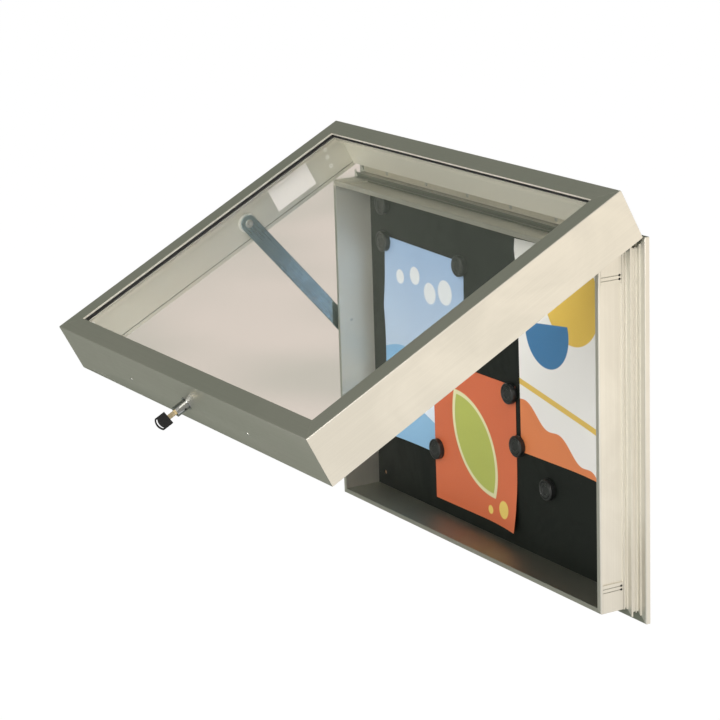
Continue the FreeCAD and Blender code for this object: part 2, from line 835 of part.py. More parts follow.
channelFloor = caseLeft + channelSink
pinShoulder = barOuter + barThick
rollerInner = channelFloor - 0.4
rollerLength = 5.2
pinHead = peg("x", barOuter - 1.2, guide.y, guide.z, guidePinRadius * 2, 1.2)
pinBody = guidePinRadius - runningGap
pinShank = rod("x", barOuter - 0.5, guide.y, guide.z, pinBody, rollerInner - barOuter + 0.5)
shoulderLength = rollerInner - rollerLength - 0.2 - pinShoulder
pinCollar = peg("x", pinShoulder, guide.y, guide.z, guidePinRadius * 1.5, shoulderLength)
group("stay_guide_pin", [fuse(pinHead, pinShank, pinCollar)])
roller = subtract(
    rod("x", rollerInner - rollerLength, guide.y, guide.z, rollerRadius, rollerLength),
    rod("x", rollerInner - rollerLength - 1, guide.y, guide.z, guidePinRadius, rollerLength + 2),
)
group("stay_roller", [roller])

stopLow = guideHeight + rollerRadius + 1
stopProud = 3
stopHeadThick = 2
stopFace = caseLeft - stopProud
stopY = guideDepth - caseDepth
stopBlock = subtract(
    box(stopFace, stopY - 8, stopLow, stopProud + channelSink, 16, 18),
    fuse(
        peg("x", stopFace - 1, stopY, stopHeight, stopScrewRadius + holePlay * 2, 20),
        peg("x", stopFace - 1, stopY, stopHeight, stopScrewRadius * 2 + holePlay * 2, stopHeadThick + 1),
    ),
)
group("stay_stop", [stopBlock])
stopHead = peg("x", stopFace, stopY, stopHeight, stopScrewRadius * 2, stopHeadThick)
stopShank = peg("x", stopFace + stopHeadThick / 2, stopY, stopHeight, stopScrewRadius, 8.5)
group("stay_stop_screw", [fuse(stopHead, stopShank)])


# Lock: a push cylinder in the door's bottom wall, drawn shut and swung with the door

lockY = doorFront + lockDepth
doorBottom = -doorHalfHeight
nutThick = 4
sleeveLength = boxWidth + nutThick + 0.4


def hexagon(acrossFlats):
    radius = acrossFlats / math.sqrt(3)
    angles = [math.radians(60 * step) for step in range(6)]
    return [(radius * math.cos(angle), lockY + radius * math.sin(angle)) for angle in angles]


collarTube = peg("z", 0, lockY, doorBottom - 0.4, barrelRadius + sleeveThick, sleeveLength + 0.4, barrelSides)
collarFlange = peg("z", 0, lockY, doorBottom - 0.8, barrelRadius + sleeveThick + 1, 0.8, discSides)
collarBore = rod("z", 0, lockY, doorBottom - 5, barrelRadius + runningGap, 30)
group("lock_collar", [subtract(fuse(collarTube, collarFlange), collarBore)], swing)

nut = newBody("lock_nut")
nutSketch = newSketch(nut, "XY_Plane", doorBottom + boxWidth)
drawOutline(nutSketch, hexagon(25))
drawOutline(nutSketch, polygon(0, lockY, barrelRadius + sleeveThick + holePlay, barrelSides))
pad(nut, nutSketch, nutThick)
nut.Placement = swing
keep(nut, "lock_nut")

bottomRivets = []
for x in bottomRivetPlaces:
    rivetY = doorFront + bottomRivetDepth
    bottomHead = peg("z", x, rivetY, doorBottom - 0.9, 3, 0.9, barrelSides)
    bottomShank = peg("z", x, rivetY, doorBottom - 0.2, rivetRadius, doorWall + 1)
    bottomRivets.append(fuse(bottomHead, bottomShank))
group("door_bottom_rivets", bottomRivets, swing)

barrelBevel = 0.8
barrelTop = doorBottom + 10
barrelEnd = doorBottom - barrelOut
barrel = rod("z", 0, lockY, barrelEnd, barrelRadius, barrelTop - barrelEnd)
bevelled = doc.addObject("Part::Chamfer", "bevelled")
bevelled.Base = barrel
bevelled.Edges = [(3, barrelBevel, barrelBevel)]
plugBore = rod("z", 0, lockY, barrelEnd - 1, plugRadius + runningGap, 21)
pinInner = plugRadius + 0.35
pinY = lockY + 2.5
pinZ = doorBottom - 7
sidePinHole = peg("x", pinInner - runningGap, pinY, pinZ, 2, 9, 4)
group("lock_cylinder", [subtract(bevelled, fuse(plugBore, sidePinHole))], swing)
group("lock_side_pin", [peg("x", pinInner, pinY, pinZ, 1.4, 0.7)], swing)
group("lock_bolt", [rod("z", 0, lockY, barrelTop, boltRadius, 7)], swing)

# The key stands turned in the lock, and the plug with it.
keyTurn = FreeCAD.Placement(vector(), turn((0, 0, 1), -37), vector(0, lockY.value, 0))
keyPlacement = swing.multiply(keyTurn)
bladeWidth = 6.4
bladeThick = 2.2
slotWidth = bladeWidth + runningGap * 2
slotThick = bladeThick + runningGap * 2
plug = subtract(
    rod("z", 0, lockY, barrelEnd - 0.3, plugRadius, 20),
    box(-slotThick / 2, lockY - slotWidth / 2, barrelEnd - 2, slotThick, slotWidth, 20),
)
group("lock_plug", [plug], keyPlacement)
headStart = barrelEnd - 11.5
bladeFlat = box(-bladeThick / 2, lockY - bladeWidth / 2, headStart, bladeThick, bladeWidth, 28.5)
bladeGroove = box(bladeThick / 2 - 0.6, lockY - 0.4, headStart + 1, 1, 1, 30)
group("key_blade", [subtract(bladeFlat, bladeGroove)], keyPlacement)

bowWidth = 18.5
bowLength = 19
bowThick = 4.6
bowRadius = 13.5
bowCentre = headStart - bowLength + bowRadius
bowBlank = common(
    box(-bowThick / 2, lockY - bowWidth / 2, headStart - bowLength, bowThick, bowWidth, bowLength),
    rod("x", -bowThick, lockY, bowCentre, bowRadius, bowThick * 2),
)
windowDisc = rod("x", -bowThick, lockY, bowCentre, bowRadius - 1.7, bowThick * 2)
windowWidth = bowWidth - 4
windowBand = box(-bowThick, lockY - windowWidth / 2, bowCentre - 20, bowThick * 2, windowWidth, 20)
crescent = subtract(
    common(windowDisc, windowBand),
    rod("x", -bowThick - 1, lockY, bowCentre + 3, bowRadius - 1, bowThick * 2 + 2),
)
bladeSocket = box(-bladeThick / 2, lockY - bladeWidth / 2, headStart - 0.01, bladeThick, bladeWidth, 5)
group("key_head", [subtract(subtract(bowBlank, crescent), bladeSocket)], keyPlacement)

keeperLow = -headHeight / 2 + channelSink
keeperBush = peg("z", 0, lockY, keeperLow, keeperRadius, keeperDepth - channelSink, barrelSides)
keeperBore = peg("z", 0, lockY, keeperLow - 3, boltRadius + 0.7, 20, barrelSides)
group("lock_keeper", [subtract(keeperBush, keeperBore)])


# Notices held on the steel panel by round magnets

def notice(label, centreX, centreZ, width, height, tilt, layer):
    # tilt is clockwise as seen from the front, layer counts the sheets behind this one.
    paper = doc.addObject("Part::Box", "paper")
    bind(paper, Length=width, Width=sheetThick, Height=height)
    rotation = turn((0, 1, 0), tilt)
    corner = rotation.multVec(vector(-width / 2, 0, -height / 2))
    front = panelFace.value - sheetThick.value * (layer + 1)
    paper.Placement = place(centreX + corner.x, front, centreZ + corner.z, rotation)
    return group(label, [paper])


notice("notice_left", -179.5, 3.4, 210, 297, 1.3, 0)
notice("notice_middle", -51.8, -106, 210, 210, -0.45, 1)
notice("notice_right", 167, 60, 210, 297, -0.9, 0)

# Each magnet: X, Z, and how many sheets it holds.
magnetPlaces = [
    (-280.2, 201.1, 0), (-279.5, 146.3, 1), (-76.4, 144.6, 1), (41.8, -11.5, 2),
    (-147.4, -136.4, 2), (59.8, -83, 2), (130.4, -127.5, 0),
]
magnets = []
for x, z, layers in magnetPlaces:
    front = panelFace - sheetThick * layers - magnetThick
    magnets.append(peg("y", x, front, z, magnetRadius, magnetThick, discSides))
group("magnets", magnets)


# Check every object, then write one file for each piece

doc.recompute()
failed = [item.Label for item in doc.Objects if {"Invalid", "Error"} & set(item.State)]
unsound = [item.Label for item in pieces if item.Shape.isNull() or not item.Shape.isValid()]
if failed or unsound:
    raise RuntimeError(f"failed {failed}, unsound {unsound}")
os.makedirs("parts", exist_ok=True)
for item in pieces:
    item.Shape.exportStep(f"parts/{item.Label}.step")
print(f"{len(pieces)} pieces, stay {stayLength:.1f} mm long, leaning {stayLean:.2f} degrees")
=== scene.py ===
import json
import math
import bmesh
import bpy
from mathutils import Matrix, Vector, noise


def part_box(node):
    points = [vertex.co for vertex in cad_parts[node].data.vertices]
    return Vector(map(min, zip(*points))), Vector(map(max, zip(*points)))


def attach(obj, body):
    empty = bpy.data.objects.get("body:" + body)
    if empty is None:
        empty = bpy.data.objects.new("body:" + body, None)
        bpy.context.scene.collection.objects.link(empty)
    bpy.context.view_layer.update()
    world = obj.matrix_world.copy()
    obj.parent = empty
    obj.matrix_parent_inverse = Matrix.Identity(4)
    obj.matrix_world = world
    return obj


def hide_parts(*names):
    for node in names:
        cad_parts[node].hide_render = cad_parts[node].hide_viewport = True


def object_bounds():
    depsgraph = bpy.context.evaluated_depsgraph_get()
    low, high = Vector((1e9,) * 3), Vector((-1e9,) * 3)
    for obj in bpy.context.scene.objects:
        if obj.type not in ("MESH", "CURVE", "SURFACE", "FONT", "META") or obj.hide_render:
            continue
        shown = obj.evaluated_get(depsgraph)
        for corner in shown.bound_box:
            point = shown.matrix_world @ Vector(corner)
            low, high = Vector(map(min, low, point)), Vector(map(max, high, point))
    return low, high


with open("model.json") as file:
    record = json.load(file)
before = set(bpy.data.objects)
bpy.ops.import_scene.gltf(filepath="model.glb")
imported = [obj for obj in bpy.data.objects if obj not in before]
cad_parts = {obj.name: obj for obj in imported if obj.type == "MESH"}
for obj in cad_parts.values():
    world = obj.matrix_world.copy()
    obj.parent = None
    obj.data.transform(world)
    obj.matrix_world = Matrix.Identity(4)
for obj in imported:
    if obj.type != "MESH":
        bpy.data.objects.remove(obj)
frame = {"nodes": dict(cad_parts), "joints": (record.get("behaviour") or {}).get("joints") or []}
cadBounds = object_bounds()
nodes = frame["nodes"]
print("frame loaded:", len(nodes), "nodes")

# The open door's own directions, from its hinge joint
openAngle = math.radians(62.4)
stayLean = math.radians(41.66)  # of the stay from upright, door open
hinge = Vector(next(joint for joint in frame["joints"] if joint["name"] == "door_hinge")["pos_m"])
doorTurn = Matrix.Rotation(-openAngle, 3, "X")
doorDown = doorTurn @ Vector((0, 0, -1))  # from the hinge edge towards the lock
doorCorner = Vector((0, -0.0715, -0.001))  # middle of the door's front top edge from the hinge, door shut
halfDoor = 0.3475
doorHeight = 0.517
doorWall = 0.011  # thickness of the door's hollow walls
panelFront = -0.007


def onDoor(x, down, deep):
    # x to the right, metres down from the door's top edge, metres behind its front
    return hinge + doorTurn @ (doorCorner + Vector((x, deep, -down)))


# Mesh making

def sideways(axis):
    # two directions square to an axis and to each other
    first = axis.orthogonal().normalized()
    return first, axis.cross(first)


def turned(shape, start, axis, profile, sides=48):
    # A lathe form: profile is a list of (radius, distance along the axis), from one closed end to the other
    axis = Vector(axis).normalized()
    first, second = sideways(axis)
    rings = []
    for radius, along in profile:
        centre = Vector(start) + axis * along
        if radius == 0:
            rings.append([shape.verts.new(centre)])
            continue
        turns = [2 * math.pi * step / sides for step in range(sides)]
        rings.append([
            shape.verts.new(centre + first * math.cos(turn) * radius + second * math.sin(turn) * radius)
            for turn in turns
        ])
    for near, far in zip(rings, rings[1:]):
        for step in range(sides):
            after = (step + 1) % sides
            corners = [near[step % len(near)], near[after % len(near)],
                       far[after % len(far)], far[step % len(far)]]
            unique = list(dict.fromkeys(corners))
            if len(unique) > 2:
                shape.faces.new(unique)


def roundedEdge(radius, along, size, steps=4):
    # A quarter round for a lathe profile, from the side wall at full radius to the end face
    points = []
    for step in range(steps + 1):
        angle = math.pi / 2 * step / steps
        points.append((radius - size + size * math.cos(angle), along + size * math.sin(angle)))
    return points


def finishPiece(name, mesh, material, body, stands=(), sharp=35):
    # stands names the nodes that the piece stands in for, sharp is the least angle of a hard edge in degrees
    for face in mesh.polygons:
        face.use_smooth = True
    mesh.set_sharp_from_angle(angle=math.radians(sharp))
    mesh.materials.clear()
    mesh.materials.append(material)
    piece = bpy.data.objects.new(name, mesh)
    bpy.context.scene.collection.objects.link(piece)
    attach(piece, body)
    if stands:
        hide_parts(*stands)


def makePiece(name, build, material, body, stands=()):
    # build fills a bmesh with the piece where it stands
    shape = bmesh.new()
    build(shape)
    bmesh.ops.recalc_face_normals(shape, faces=shape.faces)
    mesh = bpy.data.meshes.new(name)
    shape.to_mesh(mesh)
    shape.free()
    finishPiece(name, mesh, material, body, stands)


# Shader node groups

def newGroup(name, inputs, outputs):
    group = bpy.data.node_groups.new(name, "ShaderNodeTree")
    for label, kind, value in inputs:
        socket = group.interface.new_socket(name=label, in_out="INPUT", socket_type=kind)
        socket.default_value = value
    for label, kind in outputs:
        group.interface.new_socket(name=label, in_out="OUTPUT", socket_type=kind)
    entry = group.nodes.new("NodeGroupInput")
    leave = group.nodes.new("NodeGroupOutput")
    return group, entry, leave


def feed(tree, node, links):
    # links maps an input, by name or number, to a value or to another node's output
    for key, value in links.items():
        if isinstance(value, bpy.types.NodeSocket):
            tree.links.new(value, node.inputs[key])
        else:
            node.inputs[key].default_value = value


def addNode(tree, kind, links=None, **settings):
    node = tree.nodes.new("ShaderNode" + kind)
    for key, value in settings.items():
        setattr(node, key, value)
    feed(tree, node, links or {})
    return node


def maths(tree, operation, first, second=0.0, clamp=False):
    return addNode(tree, "Math", {0: first, 1: second}, operation=operation, use_clamp=clamp).outputs[0]


def between(tree, value, low, high, newLow=0.0, newHigh=1.0):
    links = {"Value": value, "From Min": low, "From Max": high, "To Min": newLow, "To Max": newHigh}
    return addNode(tree, "MapRange", links, interpolation_type="SMOOTHSTEP").outputs["Result"]


grainLook = {"broadScale": 0.2, "fineScale": 1.0, "fineRoughness": 0.65, "broadShare": 0.3,
             "range": (0.3, 0.7)}


def buildGrainGroup():
    # Fine lines along one direction, as a die, a brush or a roller leaves them
    group, entry, leave = newGroup(
        "directional_grain",
        [("Vector", "NodeSocketVector", (0, 0, 0)), ("Stretch", "NodeSocketVector", (1, 1, 1))],
        [("Shade", "NodeSocketFloat"), ("Height", "NodeSocketFloat")],
    )
    place = addNode(
        group, "VectorMath", {0: entry.outputs[0], 1: entry.outputs[1]}, operation="MULTIPLY"
    ).outputs[0]
    broad = addNode(group, "TexNoise", {"Vector": place, "Scale": grainLook["broadScale"], "Detail": 2.0})
    fine = addNode(group, "TexNoise", {
        "Vector": place, "Scale": grainLook["fineScale"], "Detail": 4.0,
        "Roughness": grainLook["fineRoughness"],
    })
    mixed = maths(group, "ADD", maths(group, "MULTIPLY", broad.outputs[0], grainLook["broadShare"]),
                  maths(group, "MULTIPLY", fine.outputs[0], 1 - grainLook["broadShare"]))
    group.links.new(between(group, mixed, *grainLook["range"]), leave.inputs["Shade"])
    group.links.new(fine.outputs[0], leave.inputs["Height"])
    return group


handlingLook = {"distortion": 0.8, "smudges": (0.35, 0.7), "dustScale": 420.0, "dustSize": (0.16, 0.05),
                "patchScale": 60.0, "patches": (0.55, 0.7)}


def buildHandlingGroup():
    # Cloudy smudges from hands and cloths, and small specks of dust
    group, entry, leave = newGroup(
        "handling_marks",
        [("Vector", "NodeSocketVector", (0, 0, 0)), ("Size", "NodeSocketFloat", 9.0)],
        [("Smudge", "NodeSocketFloat"), ("Specks", "NodeSocketFloat")],
    )
    place = entry.outputs[0]
    cloud = addNode(group, "TexNoise", {
        "Vector": place, "Scale": entry.outputs[1], "Detail": 4.0, "Roughness": 0.6,
        "Distortion": handlingLook["distortion"],
    })
    dust = addNode(group, "TexVoronoi", {
        "Vector": place, "Scale": handlingLook["dustScale"], "Randomness": 1.0,
    })
    patch = addNode(group, "TexNoise", {"Vector": place, "Scale": handlingLook["patchScale"], "Detail": 2.0})
    grains = between(group, dust.outputs["Distance"], *handlingLook["dustSize"])
    patches = between(group, patch.outputs[0], *handlingLook["patches"])
    group.links.new(between(group, cloud.outputs[0], *handlingLook["smudges"]), leave.inputs["Smudge"])
    group.links.new(maths(group, "MULTIPLY", grains, patches), leave.inputs["Specks"])
    return group


def buildDiscGroup():
    # A printed disc: 1 inside the radius, 0 outside
    group, entry, leave = newGroup(
        "disc_mark",
        [("Vector", "NodeSocketVector", (0, 0, 0)), ("Centre", "NodeSocketVector", (0.5, 0.5, 0)),
         ("Radius", "NodeSocketFloat", 0.1), ("Softness", "NodeSocketFloat", 0.004)],
        [("Mask", "NodeSocketFloat")],
    )
    away = addNode(group, "VectorMath", {0: entry.outputs[0], 1: entry.outputs[1]}, operation="DISTANCE")
    inner = maths(group, "SUBTRACT", entry.outputs["Radius"], away.outputs["Value"])
    share = maths(group, "DIVIDE", inner, entry.outputs["Softness"])
    group.links.new(maths(group, "ADD", share, 0.5, clamp=True), leave.inputs["Mask"])
    return group


def buildBandGroup():
    # Everything under a wavy line: 1 below it, 0 above
    group, entry, leave = newGroup(
        "wave_band",
        [("Vector", "NodeSocketVector", (0, 0, 0)), ("Level", "NodeSocketFloat", 0.5),
         ("Slope", "NodeSocketFloat", 0.0), ("Swing", "NodeSocketFloat", 0.02),
         ("Waves", "NodeSocketFloat", 12.0), ("Softness", "NodeSocketFloat", 0.004)],
        [("Mask", "NodeSocketFloat")],
    )
    across, up, _ = addNode(group, "SeparateXYZ", {0: entry.outputs["Vector"]}).outputs
    swings = maths(group, "SINE", maths(group, "MULTIPLY", across, entry.outputs["Waves"]))
    wave = maths(group, "MULTIPLY", swings, entry.outputs["Swing"])
    rise = maths(group, "MULTIPLY", across, entry.outputs["Slope"])
    line = maths(group, "ADD", maths(group, "ADD", entry.outputs["Level"], rise), wave)
    share = maths(group, "DIVIDE", maths(group, "SUBTRACT", line, up), entry.outputs["Softness"])
    group.links.new(maths(group, "ADD", share, 0.5, clamp=True), leave.inputs["Mask"])
    return group


innerEdge = 0.004  # how far past square a face has to turn


def buildInnerGroup():
    # The faces that look towards a point inside a frame: 1 on its inner walls, 0 on its outer ones
    group, entry, leave = newGroup(
        "inner_faces",
        [("Vector", "NodeSocketVector", (0, 0, 0)), ("Normal", "NodeSocketVector", (0, 0, 1)),
         ("Centre", "NodeSocketVector", (0, 0, 0))],
        [("Mask", "NodeSocketFloat")],
    )
    inward = addNode(
        group, "VectorMath", {0: entry.outputs["Centre"], 1: entry.outputs["Vector"]}, operation="SUBTRACT"
    ).outputs[0]
    facing = addNode(
        group, "VectorMath", {0: entry.outputs["Normal"], 1: inward}, operation="DOT_PRODUCT"
    ).outputs["Value"]
    group.links.new(between(group, facing, 0.0, innerEdge), leave.inputs["Mask"])
    return group


grainGroup = buildGrainGroup()
innerGroup = buildInnerGroup()
handlingGroup = buildHandlingGroup()
discGroup = buildDiscGroup()
bandGroup = buildBandGroup()


def useGroup(tree, group, **links):
    node = tree.nodes.new("ShaderNodeGroup")
    node.node_tree = group
    feed(tree, node, links)
    return node


# Materials

def startMaterial(name, colour, roughness, metallic=0.0, **uniform):
    # uniform sets plain values on the shader's own sockets; the last result holds the coordinates
    material = bpy.data.materials.new(name)
    material.use_nodes = True
    tree = material.node_tree
    shader = tree.nodes["Principled BSDF"]
    shader.inputs["Base Color"].default_value = (*colour, 1)
    shader.inputs["Roughness"].default_value = roughness
    shader.inputs["Metallic"].default_value = metallic
    for key, value in uniform.items():
        shader.inputs[key.replace("_", " ")].default_value = value
    return material, tree, shader, addNode(tree, "TexCoord").outputs


def blendColours(tree, factor, first, second):
    node = addNode(tree, "Mix", data_type="RGBA", blend_type="MIX")
    for socket, value in ((node.inputs[0], factor), (node.inputs[6], first), (node.inputs[7], second)):
        if isinstance(value, bpy.types.NodeSocket):
            tree.links.new(value, socket)
        elif isinstance(value, tuple):
            socket.default_value = (*value, 1)
        else:
            socket.default_value = value
    return node.outputs[2]


def addBump(tree, shader, height, strength, distance):
    bump = addNode(tree, "Bump", {"Height": height, "Strength": strength, "Distance": distance})
    tree.links.new(bump.outputs[0], shader.inputs["Normal"])


metalFinish = {
    "anodised": {"dark": (0.57, 0.555, 0.505), "pale": (0.65, 0.635, 0.58), "smooth": 0.42, "rough": 0.52},
    # the two below: the anodised finish painted paler for the case, a painted light, and darker for its top
    # and bottom, a painted shade
    "case": {"dark": (0.62, 0.6, 0.545), "pale": (0.7, 0.685, 0.625), "smooth": 0.42, "rough": 0.52},
    "shadedAnodised": {"dark": (0.49, 0.48, 0.43), "pale": (0.57, 0.555, 0.5), "smooth": 0.42, "rough": 0.5},
    # bare: the crimps' bared aluminium, its near-white and barely metallic tone partly a painted glint
    "bare": {"dark": (0.92, 0.91, 0.87), "pale": (1.0, 0.99, 0.96), "smooth": 0.25, "rough": 0.4,
             "metallic": 0.1},
    # stainless: a bluish tone, partly the blue of zinc plating and partly a painted reflection of the blue
    # notice
    "stainless": {"dark": (0.31, 0.4, 0.43), "pale": (0.38, 0.49, 0.52), "smooth": 0.24, "rough": 0.34},
    "hinge": {"dark": (0.68, 0.63, 0.52), "pale": (0.86, 0.81, 0.68), "smooth": 0.3, "rough": 0.42,
              "metallic": 0.65},
    "zinc": {"dark": (0.52, 0.52, 0.5), "pale": (0.74, 0.73, 0.7), "smooth": 0.22, "rough": 0.4},
    "cast": {"dark": (0.42, 0.42, 0.42), "pale": (0.6, 0.6, 0.59), "smooth": 0.45, "rough": 0.62},
    "chrome": {"dark": (0.26, 0.27, 0.27), "pale": (0.42, 0.43, 0.43), "smooth": 0.05, "rough": 0.12},
    "brass": {"dark": (0.24, 0.2, 0.125), "pale": (0.4, 0.345, 0.23), "smooth": 0.22, "rough": 0.36},
}
grainStretch = {"x": (14, 2600, 2600), "z": (2600, 2600, 14), "none": (900, 900, 900)}
metalWear = {"smudgeSize": 7.0, "grainShare": 0.45, "dustShare": 0.25, "dust": (0.45, 0.42, 0.36),
             "grainDepth": 0.00006}

# Inner faces: a painted light that makes them paler on the door and on the case's sides, a painted shade that
# makes them darker on the case's top and bottom; metallic drops where they are paler
paintedInnerLightAndShade = {
    "top": {"tone": (0.93, 0.9, 0.8), "metallic": 0.45},
    "side": {"tone": (0.74, 0.725, 0.65), "metallic": 0.7},
    "dustAndShade": {"tone": (0.34, 0.35, 0.3), "metallic": 1.0},
}
# Crevices: how far the tone painted into them reaches on the case and on the door, and the tones painted into
# them: a painted shade that darkens them and a painted light that brightens them
crevices = {"case": 0.009, "door": 0.003, "deep": 0.25, "open": 1.0, "samples": 6,
            "paintedShade": (0.17, 0.175, 0.14), "paintedLight": (0.87, 0.845, 0.775)}
paintedLightFade = (-0.19, -0.07)  # the painted light on the case's inner sides fades out towards the bottom between these heights
# The points that inner faces look towards, in the door and in the case
trayCentre = tuple(onDoor(0, doorHeight / 2, 0.05))
caseCentre = (0, -0.04, 0)


def metalMaterial(name, finish, along="none", turn=0.0, bumps=0.05, crevice=0, within="paintedShade",
                  inner="", centre=None, fadesLow=False):
    # along is the direction of the grain and turn swings it. crevice is how far the painted tone called
    # within reaches out of crevices. inner picks the painted light or painted shade on the faces towards
    # centre, and the flag after centre fades it out towards the bottom.
    look = metalFinish[finish]
    material, tree, shader, coordinates = startMaterial(
        name, look["pale"], look["smooth"], look.get("metallic", 1.0)
    )
    place = coordinates["Object"]
    if turn:
        place = addNode(tree, "Mapping", {"Vector": place, "Rotation": (turn, 0, 0)}).outputs[0]
    grain = useGroup(tree, grainGroup, Vector=place, Stretch=grainStretch[along])
    marks = useGroup(tree, handlingGroup, Vector=place, Size=metalWear["smudgeSize"])
    uneven = maths(tree, "MULTIPLY", grain.outputs["Shade"], metalWear["grainShare"])
    smudged = maths(tree, "MULTIPLY", marks.outputs["Smudge"], 1 - metalWear["grainShare"])
    worn = maths(tree, "ADD", uneven, smudged, clamp=True)
    tone = blendColours(tree, worn, look["dark"], look["pale"])
    dustAndShade = maths(tree, "MULTIPLY", marks.outputs["Specks"], metalWear["dustShare"])
    tone = blendColours(tree, dustAndShade, tone, metalWear["dust"])
    # painted light and painted shade on the inner faces: their tone and metallic blend in by the inner_faces
    # mask
    if inner:
        mask = useGroup(tree, innerGroup, Vector=coordinates["Object"], Normal=coordinates["Normal"],
                        Centre=centre).outputs[0]
        # the painted light fades out towards the bottom
        if fadesLow:
            height = addNode(tree, "SeparateXYZ", {0: coordinates["Object"]}).outputs[2]
            mask = maths(tree, "MULTIPLY", mask, between(tree, height, *paintedLightFade))
        tone = blendColours(tree, mask, tone, paintedInnerLightAndShade[inner]["tone"])
        metallic = between(tree, mask, 0.0, 1.0, 1.0, paintedInnerLightAndShade[inner]["metallic"])
        tree.links.new(metallic, shader.inputs["Metallic"])
    # painted shade from ambient occlusion: crevices take the tone named by within, a painted shade or, on the
    # case's uprights, a painted light
    if crevice:
        openness = addNode(
            tree, "AmbientOcclusion", {"Distance": crevice}, samples=crevices["samples"], only_local=True
        ).outputs["AO"]
        clear = between(tree, openness, crevices["deep"], crevices["open"])
        tone = blendColours(tree, clear, crevices[within], tone)
    tree.links.new(tone, shader.inputs["Base Color"])
    rough = between(tree, worn, 0.0, 1.0, look["rough"], look["smooth"])
    tree.links.new(rough, shader.inputs["Roughness"])
    addBump(tree, shader, grain.outputs["Height"], bumps, metalWear["grainDepth"])
    return material


plainFinish = {
    "dark_panel": {"dark": (0.004, 0.006, 0.0045), "pale": (0.008, 0.011, 0.0085), "rough": 0.6,
                   "specular": 0.27, "grain": 900, "bump": 0.08},
    "hardboard": {"dark": (0.16, 0.09, 0.045), "pale": (0.31, 0.2, 0.11), "rough": 0.7,
                  "grain": 260, "bump": 0.3},
    "white_nylon": {"dark": (0.6, 0.6, 0.56), "pale": (0.76, 0.76, 0.72), "rough": 0.38,
                    "grain": 500, "bump": 0.05},
    "black_rubber": {"dark": (0.008, 0.008, 0.008), "pale": (0.02, 0.02, 0.02), "rough": 0.75,
                     "grain": 1500, "bump": 0.2},
    "black_plastic": {"dark": (0.004, 0.004, 0.004), "pale": (0.01, 0.01, 0.01), "rough": 0.46,
                      "specular": 0.22, "grain": 1900, "bump": 0.1},
    "black_screw": {"dark": (0.003, 0.003, 0.003), "pale": (0.009, 0.009, 0.008), "rough": 0.6,
                    "specular": 0.15, "grain": 1200, "bump": 0.1},
    "magnet_case": {"dark": (0.008, 0.009, 0.009), "pale": (0.02, 0.022, 0.021), "rough": 0.36,
                    "grain": 1200, "bump": 0.1},
}
plainWear = {"smudgeSize": 11.0, "dustShare": 0.3, "dust": (0.3, 0.29, 0.26), "grainDepth": 0.0003,
             "gritShare": 0.5, "range": (0.2, 0.8), "smoother": 0.08, "rougher": 0.12}


def plainMaterial(name):
    look = plainFinish[name]
    material, tree, shader, coordinates = startMaterial(
        name, look["pale"], look["rough"], Specular_IOR_Level=look.get("specular", 0.5)
    )
    place = coordinates["Object"]
    grit = addNode(tree, "TexNoise", {"Vector": place, "Scale": look["grain"], "Detail": 3.0})
    marks = useGroup(tree, handlingGroup, Vector=place, Size=plainWear["smudgeSize"])
    mixed = maths(tree, "ADD", maths(tree, "MULTIPLY", grit.outputs[0], plainWear["gritShare"]),
                  maths(tree, "MULTIPLY", marks.outputs["Smudge"], 1 - plainWear["gritShare"]))
    tone = blendColours(tree, mixed, look["dark"], look["pale"])
    dustAndShade = maths(tree, "MULTIPLY", marks.outputs["Specks"], plainWear["dustShare"])
    tree.links.new(blendColours(tree, dustAndShade, tone, plainWear["dust"]), shader.inputs["Base Color"])
    rough = between(tree, mixed, *plainWear["range"], look["rough"] - plainWear["smoother"],
                    look["rough"] + plainWear["rougher"])
    tree.links.new(rough, shader.inputs["Roughness"])
    addBump(tree, shader, grit.outputs[0], look["bump"], plainWear["grainDepth"])
    return material


glassFinish = {"tint": (0.95, 0.955, 0.94), "clean": 0.0, "smeared": 0.02, "smudgeSize": 5.0,
               "smudges": (0.3, 1.0)}


def glassMaterial():
    material, tree, shader, coordinates = startMaterial(
        "clear_glass", glassFinish["tint"], 0.0, Transmission_Weight=1.0, IOR=1.5
    )
    marks = useGroup(tree, handlingGroup, Vector=coordinates["Object"], Size=glassFinish["smudgeSize"])
    smear = between(tree, marks.outputs["Smudge"], *glassFinish["smudges"],
                    glassFinish["clean"], glassFinish["smeared"])
    tree.links.new(smear, shader.inputs["Roughness"])
    return material


paperFinish = {"sheet": (0.8, 0.8, 0.8), "bare": (0.9, 0.9, 0.88), "inkLoss": 0.06,
               "smooth": 0.38, "rough": 0.5, "fibreScale": 340.0, "fibres": (0.3, 0.7), "bump": 0.12,
               "fibreDepth": 0.0002}


def paperMaterial(name, paint):
    # paint(tree, place) returns the print's colour over the sheet; place runs from 0 to 1 across the width
    material, tree, shader, coordinates = startMaterial(name, paperFinish["sheet"], paperFinish["rough"])
    place = coordinates["UV"]
    fibre = addNode(
        tree, "TexNoise", {"Vector": place, "Scale": paperFinish["fibreScale"], "Detail": 4.0}
    ).outputs[0]
    lost = between(tree, fibre, *paperFinish["fibres"], 0.0, paperFinish["inkLoss"])
    ink = blendColours(tree, lost, paint(tree, place), paperFinish["bare"])
    tree.links.new(ink, shader.inputs["Base Color"])
    rough = between(tree, fibre, *paperFinish["fibres"], paperFinish["smooth"], paperFinish["rough"])
    tree.links.new(rough, shader.inputs["Roughness"])
    addBump(tree, shader, fibre, paperFinish["bump"], paperFinish["fibreDepth"])
    return material


discSoftness = 0.006


def disc(tree, place, x, y, radius):
    return useGroup(
        tree, discGroup, Vector=place, Centre=(x, y, 0), Radius=radius, Softness=discSoftness
    ).outputs[0]


def band(tree, place, **shape):
    return useGroup(tree, bandGroup, Vector=place, **shape).outputs[0]


def inside(tree, *masks):
    result = masks[0]
    for mask in masks[1:]:
        result = maths(tree, "MULTIPLY", result, mask)
    return result


